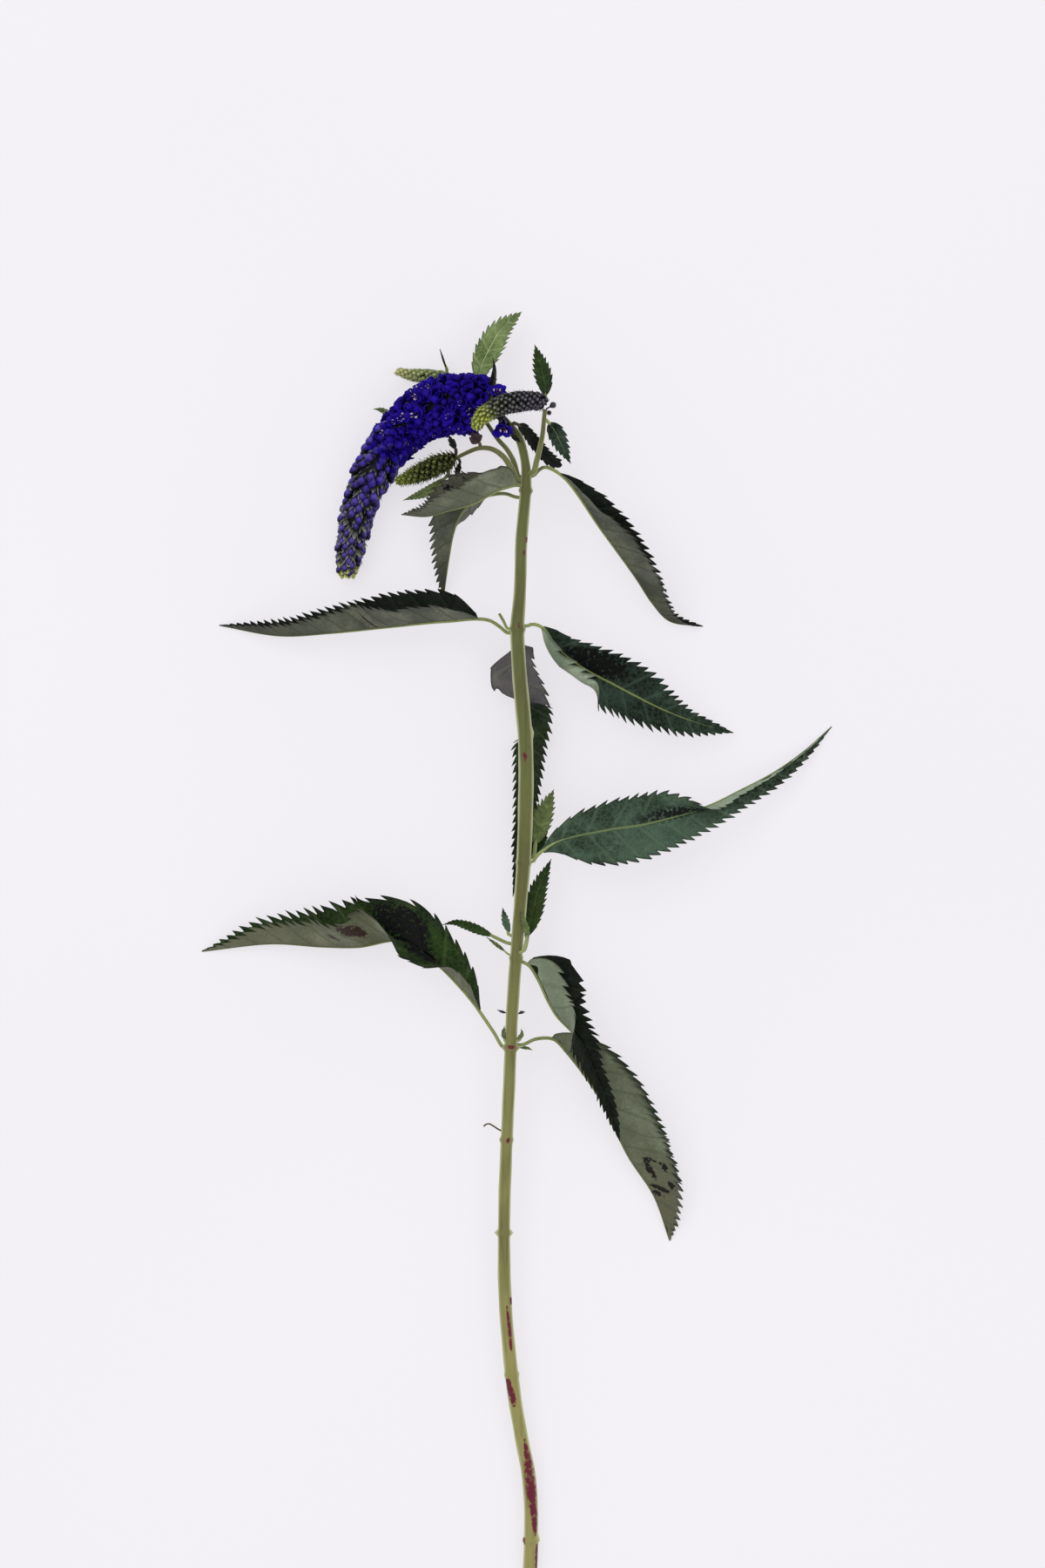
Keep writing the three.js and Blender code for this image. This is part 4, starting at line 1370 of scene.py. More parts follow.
VIOLET_BUD = round_body(5.0, 2.6, LONG_PROFILE, 8, 0.1)
CALYX = cup_of(
    Lobe(2.5, 0.72, SEPAL_OUTLINE, (0.56, -0.15), (22.0, 6.0), 0.26, 0.14),
    Lobe(2.5, 0.34, SEPAL_OUTLINE, (0.7, -0.4), (38.0, 10.0), 0.1, 0.12),
)
COROLLAS = (
    corolla(3.3, 1.45, opening=50.0, seed=1),
    corolla(3.4, 1.4, opening=78.0, seed=2),
    corolla(3.4, 1.3, opening=30.0, seed=3),
    corolla(3.2, 1.45, opening=64.0, seed=4),
)
STAMENS = joined(
    [
        thread(((0.3, 0.0, 1.0), (0.6, 0.1, 2.4), (0.9, 0.2, 3.5)), 0.09, 0.6),
        thread(((-0.3, 0.0, 1.0), (-0.5, 0.0, 2.3), (-0.8, 0.3, 3.4)), 0.09, 0.6),
        thread(((0.0, 0.2, 1.0), (0.1, 0.4, 2.6), (0.2, 0.7, 4.1)), 0.07, 0.26),
    ]
)
YOUNG_LENGTH = 1.9
YOUNG_BUD = round_body(YOUNG_LENGTH, 1.6, BUD_PROFILE, 6, 0.06)
YOUNG_CALYX = cup_of(
    Lobe(1.5, 0.62, SEPAL_OUTLINE, (0.4, -0.1), (34.0, 4.0), 0.22, 0.12),
    Lobe(1.7, 0.36, SEPAL_OUTLINE, (0.5, -0.4), (44.0, 10.0), 0.1, 0.12),
)
SHORT_CALYX = cup_of(
    Lobe(1.45, 0.6, SEPAL_OUTLINE, (0.42, -0.1), (34.0, 4.0), 0.22, 0.12),
    Lobe(1.9, 0.4, SEPAL_OUTLINE, (0.5, -0.4), (42.0, 18.0), 0.1, 0.12),
)
POINTED_CALYX = cup_of(
    Lobe(2.2, 0.55, SEPAL_OUTLINE, (0.4, -0.1), (30.0, 8.0), 0.2, 0.12),
    Lobe(2.9, 0.4, SEPAL_OUTLINE, (0.5, -0.4), (44.0, 16.0), 0.1, 0.12),
)


@dataclass(frozen=True)
class Spiral:
    """Flowers that wind round a spike by the golden angle and reach its outline."""

    UNEVEN_TURN = 5.0  # standard deviations of the turn and the tilt, of the pointing, and of the size
    UNEVEN_WAY = 0.06
    UNEVEN_SIZE = 0.045

    stations: Stations  # x, y, z and outer radius of the spike
    first: float  # share of the spike where they start and end
    last: float
    count: int
    tilts: tuple[float, float]  # lean from straight out towards the tip, at the first and last flower
    sizes: tuple[float, float]  # size of the first and last flower
    reach: float  # length of a flower of size 1
    seed: int
    core: float = 0.5  # least distance of a flower's foot from the middle of the spike
    spin: float = 0.0  # how far a flower may be turned about its own axis
    uneven: float = 1.0  # factor on the standard deviations

    def places(self) -> tuple[Array, Array, Array, Array]:
        """Where the flowers stand.

        Flower k is at k golden angles round the spike. Its foot is as far out as leaves its length
        inside the spike's outline; its third axis is the way it points, and its second leans to the tip.

        Returns:
            (n, 3) origins, (n, 3, 3) axes scaled by the sizes, (n,) shares of the way from the first to
            the last, and (n,) random numbers from 0 to 1.
        """
        chance = np.random.default_rng(self.seed)
        curve = Curve(np.array(self.stations))
        way = (np.arange(self.count) + 0.5) / self.count
        share = self.first + (self.last - self.first) * way
        spread = self.UNEVEN_TURN * self.uneven
        turn = np.radians(np.arange(self.count) * GOLDEN_ANGLE + chance.normal(0, spread, self.count))
        frames = curve.frames(share)
        outward = frames.up * np.cos(turn)[:, None] + frames.right * np.sin(turn)[:, None]
        lean = np.interp(way, [0, 1], self.tilts) + chance.normal(0, spread, self.count)
        tilt = np.radians(lean)[:, None]
        astray = chance.normal(0, self.UNEVEN_WAY * self.uneven, (self.count, 3))
        pointing = unit(outward * np.cos(tilt) + frames.along * np.sin(tilt) + astray)
        sideways = unit(np.cross(frames.along, pointing))
        ahead = np.cross(pointing, sideways)
        spun = np.radians(chance.uniform(-self.spin, self.spin, self.count))[:, None]
        first = sideways * np.cos(spun) + ahead * np.sin(spun)
        second = ahead * np.cos(spun) - sideways * np.sin(spun)
        size = np.interp(way, [0, 1], self.sizes)
        size = size * np.clip(chance.normal(1.0, self.UNEVEN_SIZE * self.uneven, self.count), 0.75, 1.25)
        radii = [row[3] for row in self.stations]
        outline = np.interp(share * curve.length, curve.station_distances, radii)
        foot = np.maximum(outline - self.reach * size * np.cos(tilt[:, 0]), self.core)
        back = (self.reach * size * np.sin(tilt[:, 0]) * 0.5)[:, None]
        origins = frames.point + outward * foot[:, None] - frames.along * back
        axes = np.stack([first, second, pointing], 1) * size[:, None, None]
        return origins, axes, way, chance.uniform(0, 1, self.count)


@dataclass(frozen=True)
class OpenFlower:
    """A flower that stands by itself at the foot of the main spike, and the way it points."""

    foot: Point
    pointing: Point
    size: float

    def axes(self) -> Array:
        """Its axes, scaled by its size.

        Returns:
            (1, 3, 3), one axis in each row.
        """
        pointing = unit(np.array(self.pointing))
        sideways = unit(np.cross([0.2, 0.1, 1.0], pointing))
        return np.stack([sideways, np.cross(pointing, sideways), pointing])[None] * self.size


@dataclass(frozen=True)
class VioletSpike:
    """The drooping main spike: open flowers on its upper part, buds below, and a green tip."""

    SHOWING = 0.85  # of the random numbers from 0 to 1, the flowers above it show their stamens
    MIXING = 997  # times a random number, whose remainder picks the kind of open flower

    node: str
    core: Stalk
    opened: Spiral
    between: Spiral  # round violet buds that fill the gaps of the open part
    closed: Spiral
    end: Spiral
    loose: tuple[OpenFlower, ...]

    def build(self) -> None:
        """Makes the core, the cups, the open flowers, the stamens, the violet buds and the green tip."""
        core, cups, petals, stamens, buds, tip = (Model() for _ in range(6))
        core.add(self.core.shell())
        self.add_open(cups, petals, stamens)
        self.add_loose(cups, petals, stamens)
        self.add_buds(cups, buds)
        origins, axes, way, _ = self.end.places()
        tip.add(YOUNG_BUD.repeated(origins, axes, way))
        tip.add(YOUNG_CALYX.repeated(origins, axes, 0.8 * way))
        for model, part, finish, slot in (
            (core, "core", VIOLET_SHADOW_CORE, "stem"),
            (cups, "calyces", SEPAL, "violet_flowers"),
            (petals, "petals", PETAL, "violet_flowers"),
            (stamens, "stamens", STAMEN, "violet_flowers"),
            (buds, "buds", BUD_SKIN, "violet_flowers"),
            (tip, "tip", YOUNG_TIP, "green_spikes"),
        ):
            model.build(f"{self.node}_{part}", (finish,), slot, self.node)

    def add_open(self, cups: Model, petals: Model, stamens: Model) -> None:
        """Adds the open part: four kinds of open flower in mixed order, and the buds between them.

        Args:
            cups, petals, stamens: take the parts of the flowers.
        """
        origins, axes, _, chance = self.opened.places()
        kind = (chance * self.MIXING).astype(int) % len(COROLLAS)
        for number, flower in enumerate(COROLLAS):
            chosen = kind == number
            petals.add(flower.repeated(origins[chosen], axes[chosen], chance[chosen]))
        showing = chance > self.SHOWING
        stamens.add(STAMENS.repeated(origins[showing], axes[showing], chance[showing] * 0.3))
        cups.add(CALYX.repeated(origins - axes[:, 2] * 0.5, axes * 0.9, 0.1 + 0.3 * chance))
        origins, axes, _, chance = self.between.places()
        petals.add(VIOLET_BUD.repeated(origins, axes, 0.9 * chance))

    def add_loose(self, cups: Model, petals: Model, stamens: Model) -> None:
        """Adds the single flowers, each a wide one with a smaller one inside it.

        Args:
            cups, petals, stamens: take the parts of the flowers.
        """
        for flower in self.loose:
            foot, turned = np.array([flower.foot]), flower.axes()
            petals.add(COROLLAS[1].repeated(foot, turned, np.array([0.9])))
            petals.add(COROLLAS[0].repeated(foot, turned * 0.8, np.array([0.4])))
            stamens.add(STAMENS.repeated(foot + turned[:, 2] * 0.5, turned * 0.8, np.array([0.9])))
            cups.add(CALYX.repeated(foot - turned[:, 2] * 0.5, turned * 0.9, np.array([0.3])))

    def add_buds(self, cups: Model, buds: Model) -> None:
        """Adds the buds, which get younger towards the tip, in cups that get larger beside them.

        Args:
            cups, buds: take the parts of the flowers.
        """
        origins, axes, way, chance = self.closed.places()
        buds.add(VIOLET_BUD.repeated(origins, axes, np.clip(0.85 * way + 0.3 * chance - 0.05, 0, 1)))
        longer = axes * (1.0 + 0.5 * way)[:, None, None]
        tone = np.clip(0.25 + 0.6 * way + 0.2 * chance, 0, 1)
        cups.add(CALYX.repeated(origins - axes[:, 2] * 0.25, longer, tone))


@dataclass(frozen=True)
class GreenSpike:
    """A young side spike of tight green buds."""

    SPAN = (0.02, 0.985)  # shares of the spike between which the buds sit
    TILTS = (34.0, 64.0)  # lean of the first and last bud
    TONE_SPREAD = 0.16  # how far the tones of neighbours differ

    node: str
    stations: Stations
    count: int
    sizes: tuple[float, float]  # of the first and last bud
    seed: int
    finish: FlowerFinish
    cup: FlowerFinish
    calyx: Shell
    core_share: float = 0.6
    tones: Stations = ((0.0, 0.0), (0.5, 0.5), (1.0, 1.0))  # share of the spike, place in the three colours

    @property
    def core(self) -> Stalk:
        """The stalk inside it, dark as painted shade between the buds."""
        return core_of(self.node, self.stations, self.core_share, 0.4)

    def build(self) -> None:
        """Makes the core and its buds with their cups."""
        spiral = Spiral(
            self.stations, *self.SPAN, self.count, self.TILTS, self.sizes, YOUNG_LENGTH, self.seed,
            core=0.25,
        )
        origins, axes, way, chance = spiral.places()
        tone = np.clip(table_at(self.tones, way, 1) + self.TONE_SPREAD * (chance - 0.5), 0, 1)
        model = Model()
        model.add(YOUNG_BUD.repeated(origins, axes, tone))
        model.add(self.calyx.repeated(origins, axes, tone), 1)
        model.add(self.core.shell(), 2)
        model.build(f"{self.node}_buds", (self.finish, self.cup, SHADOW_CORE_SKIN), "green_spikes", self.node)


@dataclass(frozen=True)
class RoundBud:
    """A round bud on a short neck."""

    LENGTH, WIDTH, UNIT_RADIUS = 1.8, 1.75, 0.85  # of a bud of size 1
    NECK_DEPTH = 0.5  # share of the host's radius at which the neck begins
    CUP_SIZE = 0.75  # beside that of the bud

    node: str
    centre: Point
    radius: float
    on: str

    def build(self, hosts: dict[str, Stalk]) -> None:
        """Makes the bud, its neck and its little cup.

        Args:
            hosts: the stalks by the names of their pieces.
        """
        axis, outward, radius = hosts[self.on].nearest(np.array(self.centre))
        foot = axis + outward * radius * self.NECK_DEPTH
        sideways = unit(np.cross(outward, [0.3, 0.2, 1.0]))
        size = self.radius / self.UNIT_RADIUS
        gap = np.linalg.norm(np.array(self.centre) - foot)
        axes = np.stack([sideways, np.cross(outward, sideways), outward])[None] * size
        start = (foot + outward * max(gap - self.radius, 0.0))[None]
        model = Model()
        ball = round_body(self.LENGTH, self.WIDTH, BALL_PROFILE, 12, 0.05)
        model.add(ball.repeated(start, axes, np.array([0.3])))
        neck = round_body(gap / size, 0.5, NECK_PROFILE, 8)
        model.add(neck.repeated(foot[None], axes, np.array([0.2])), 1)
        model.add(YOUNG_CALYX.repeated(start, axes * self.CUP_SIZE, np.array([0.1])), 1)
        model.build(f"{self.node}_skin", (ROUND_BUD, LEFT_BUD), "green_spikes", self.node)


# ---------------- the plant's sizes

STEM = Stem(
    main=Stalk(
        name="main_stem",
        stations=(
            (1.6, 0, 2.2, 2.2), (2.4, 23, 2.9, 2.2), (2.7, 36.5, 3.6, 2.2), (2.0, 50, 4.4, 2.15),
            (-0.5, 63.5, 5.2, 2.1), (-2.7, 77, 6.0, 2.1), (-5.3, 104, 7.6, 2.05), (-5.7, 131, 8.8, 1.9),
            (-4.2, 171.5, 10.6, 1.9), (-3.0, 198.5, 12.0, 1.9), (-0.7, 228.2, 14.0, 2.0),
            (0.5, 244.4, 15.0, 2.3), (1.1, 271.4, 16.6, 2.35), (0.7, 282.2, 17.2, 2.3),
            (-0.8, 298.4, 18.2, 2.3), (-1.6, 314, 18.8, 2.2), (-0.8, 325.4, 19.2, 1.9),
            (-0.3, 341.6, 19.6, 1.9), (1.1, 359.1, 19.8, 1.7), (0.8, 365.9, 19.4, 1.4),
            (-1.3, 373.4, 18.0, 1.35), (-4.2, 377.0, 16.8, 1.3), (-7.6, 380.4, 15.9, 1.1),
        ),
        nodes=(
            (30.6, 0.5), (82.9, 0.3), (127.3, 0.5), (156.3, 0.35), (185.0, 1.0), (212.9, 0.4),
            (242.7, 0.35), (315.2, 0.5), (358.2, 0.6),
        ),
        knobs=(
            Knob(127.3, 270, 0.6, 0.7, 0.7), Knob(127.3, 90, 0.6, 0.7, 0.7),
            Knob(156.3, 300, 0.35, 0.8, 0.6), Knob(83.5, 320, 0.35, 1.0, 1.2),
            Knob(187.6, 30, 0.45, 1.2, 1.2), Knob(276.0, 350, 0.35, 2.1, 1.3),
            Knob(276.0, 350, -0.55, 1.2, 0.7), Knob(282.8, 80, 0.6, 1.4, 0.9),
            Knob(316.0, 20, 0.35, 1.2, 1.2), Knob(31.5, 80, 0.4, 0.8, 0.8),
        ),
        streaks=(
            ((90.4, 0.7, 0.3), (93.0, 0.7, 0.5), (97.2, 0.7, 0.55), (104.6, 0.4, 0.3)),
            ((73.0, -0.3, 0.6), (75.5, -0.6, 1.1), (79.0, -1.1, 1.15), (82.2, -1.7, 0.9)),
            (
                (32.2, 1.2, 0.3), (35.9, 1.1, 0.95), (40.4, 0.75, 1.2), (44.8, 0.4, 1.6), (49.3, 0.35, 1.7),
                (53.7, 0.4, 1.5), (60.0, 0.8, 0.7), (62.5, 0.9, 0.3),
            ),
            ((29.4, -2.0, 0.3), (30.4, -2.2, 0.4), (31.6, -2.1, 0.3)),
            ((21.5, 2.0, 0.5), (26.0, 2.0, 0.7), (30.0, 2.0, 0.4)),
            ((105.0, 1.8, 0.4), (107.0, 1.8, 0.4)),
            ((274.4, -0.3, 0.5), (276.0, -0.3, 0.75), (277.4, -0.3, 0.5)),
            ((315.4, 0.5, 0.1), (316.2, 0.5, 0.3), (317.4, 0.5, 0.1)),
            ((184.6, 0.2, 0.3), (185.4, 0.2, 1.6), (186.2, 0.2, 0.3)),
            ((155.2, 0.5, 0.3), (156.2, 0.4, 0.7), (157.0, 0.5, 0.3)),
            ((338.0, 0.9, 0.3), (339.4, 0.9, 0.4)),
            ((342.0, 1.5, 0.35), (343.8, 1.5, 0.35)),
        ),
    ),
    branches=(
        Stalk(
            "left_branch",
            (
                (-1.5, 359.9, 19.2, 1.0), (-3.2, 363.2, 19.6, 1.0), (-5.9, 367.2, 19.5, 0.9),
                (-9.5, 369.6, 19.0, 0.8), (-13.5, 369.9, 18.2, 0.7), (-17.6, 368.4, 16.8, 0.65),
                (-20.8, 366.8, 15.3, 0.6),
            ),
            seed=1.0,
        ),
        Stalk(
            "back_branch",
            (
                (-1.1, 361, 17, 0.85), (-2.7, 365.9, 14, 0.8), (-4.9, 369.9, 10.5, 0.75),
                (-7.6, 373.1, 7, 0.7), (-12.2, 379.9, 4, 0.65), (-16.7, 386.9, 3.1, 0.6),
                (-21.3, 391.4, 3.3, 0.55),
            ),
            seed=2.0,
        ),
        Stalk(
            "right_branch",
            (
                (3.3, 362.3, 20.9, 0.95), (4.4, 365.9, 21.9, 0.9), (5.4, 369.9, 23, 0.8),
                (6.2, 374, 24.4, 0.75), (6.6, 378, 25.6, 0.7), (7, 381.5, 26.6, 0.7),
            ),
            seed=3.0,
        ),
    ),
)

MAIN_SPIKE = (
    (-1.8, 374.2, 17.7, 2.6), (-4.4, 377.2, 16.7, 5.6), (-7.6, 380.4, 15.9, 8.0), (-12.2, 383.1, 15.1, 9.0),
    (-17.6, 383.9, 14.2, 9.3), (-23, 383.7, 13.2, 9.2), (-28.4, 382.1, 12, 8.7), (-33.8, 378.8, 10.6, 7.8),
    (-38.6, 374, 9.2, 7.0), (-42.4, 369.4, 8, 6.7), (-45.9, 364, 6.9, 6.2), (-48.6, 358.6, 6.3, 5.8),
    (-50.8, 352.4, 5.7, 5.3), (-52.4, 345.6, 5.1, 4.8), (-53.7, 338.9, 4.5, 4.1), (-54.5, 332.1, 3.4, 2.9),
    (-54.7, 329.2, 3, 1.3),
)
LEFT_SPIKE = (
    (-21.1, 366.7, 15.1, 1.6), (-24.5, 365.6, 14.6, 2.8), (-28.5, 363.9, 14, 3.0), (-33, 361.9, 13.4, 2.5),
    (-39.2, 359.6, 12.6, 0.9),
)
BACK_SPIKE = (
    (-21.7, 391.6, 3.3, 1.5), (-25, 392.2, 3.5, 2.4), (-31.1, 392.9, 3.8, 2.2), (-35.1, 393.4, 3.9, 1.7),
    (-39.4, 394.5, 4, 0.8),
)
RIGHT_SPIKE = (
    (6.8, 383.1, 27, 2.1), (4.9, 384, 27.2, 2.9), (-1.4, 383.9, 27.6, 3.3), (-5.4, 383.1, 27.6, 3.2),
    (-9.2, 381.5, 27.4, 2.8), (-12.4, 379.4, 27, 2.4), (-13.8, 377.2, 26.5, 1.9), (-13.5, 375.3, 26, 0.9),
)


def core_of(node: str, stations: Stations, share: float, least: float) -> Stalk:
    """A spike's dark heart, its stalk and painted shade: a share of its outline, less what the flowers
    cover.
    """
    return Stalk(node, tuple((*row[:3], max(row[3] * share - 0.6, least)) for row in stations[:-1]))


# the dark core, painted shade between the flowers: thin behind the open flowers, and thick between the buds
VIOLET_SHADOW_HEART = tuple((*row[:3], 0.66 * row[3] if row[0] < -10 else 1.9) for row in MAIN_SPIKE)
VIOLET_SPIKE = VioletSpike(
    "main_spike",
    core=core_of("main_spike", VIOLET_SHADOW_HEART, 1.0, 1.0),
    opened=Spiral(MAIN_SPIKE, 0.15, 0.53, 235, (8, 34), (1.08, 0.95), 3.9, seed=3, spin=45.0, uneven=2.4),
    between=Spiral(MAIN_SPIKE, 0.15, 0.56, 130, (14, 44), (1.05, 1.0), 4.3, seed=21, uneven=2.0),
    closed=Spiral(MAIN_SPIKE, 0.45, 0.965, 158, (46, 69), (1.12, 0.78), 4.8, seed=5, uneven=1.9),
    end=Spiral(MAIN_SPIKE, 0.94, 0.99, 26, (62, 84), (0.95, 0.7), YOUNG_LENGTH, seed=8, core=0.3),
    loose=(
        OpenFlower((-8.1, 384.2, 19.6), (0.05, 0.85, 0.6), 1.4),
        OpenFlower((-6.2, 378.6, 19.8), (0.05, -0.85, 0.6), 1.4),
    ),
)
GREEN_SPIKES = (
    GreenSpike(
        "left_side_spike", LEFT_SPIKE, count=104, sizes=(1.12, 0.7), seed=11,
        finish=LEFT_BUD, cup=LEFT_CUP, calyx=POINTED_CALYX,
    ),
    GreenSpike(
        "back_side_spike", BACK_SPIKE, count=92, sizes=(1.0, 0.75), seed=12,
        finish=BACK_BUD, cup=BACK_CUP, calyx=YOUNG_CALYX,
        tones=((0.0, 0.1), (0.5, 0.5), (1.0, 1.0)),
    ),
    GreenSpike(
        "right_side_spike", RIGHT_SPIKE, count=230, sizes=(0.92, 0.8), seed=13,
        finish=RIGHT_BUD, cup=RIGHT_CUP, calyx=SHORT_CALYX, core_share=0.7,
        tones=((0.0, 0.0), (0.3, 0.2), (0.5, 0.45), (0.68, 0.6), (0.78, 0.95), (1.0, 1.0)),
    ),
)
ROUND_BUDS = (
    RoundBud("large_bud", (9.4, 382.9, 26.2), 0.95, "right_branch"),
    RoundBud("small_bud", (8.2, 380.6, 24.4), 0.75, "right_branch"),
)

FINE_TEETH = Teeth(2.0, 0.95)
NO_TEETH = Teeth(1.4, 0.0)


def bract(name: str, route: Stations, half_width: float, green: Green, **sizes: object) -> Leaf:
    """A small leaf with small teeth and nearly flat halves; sizes are further fields of the leaf."""
    return Leaf(name, route, half_width, teeth=Teeth(1.4, 0.4), green=green, **sizes)


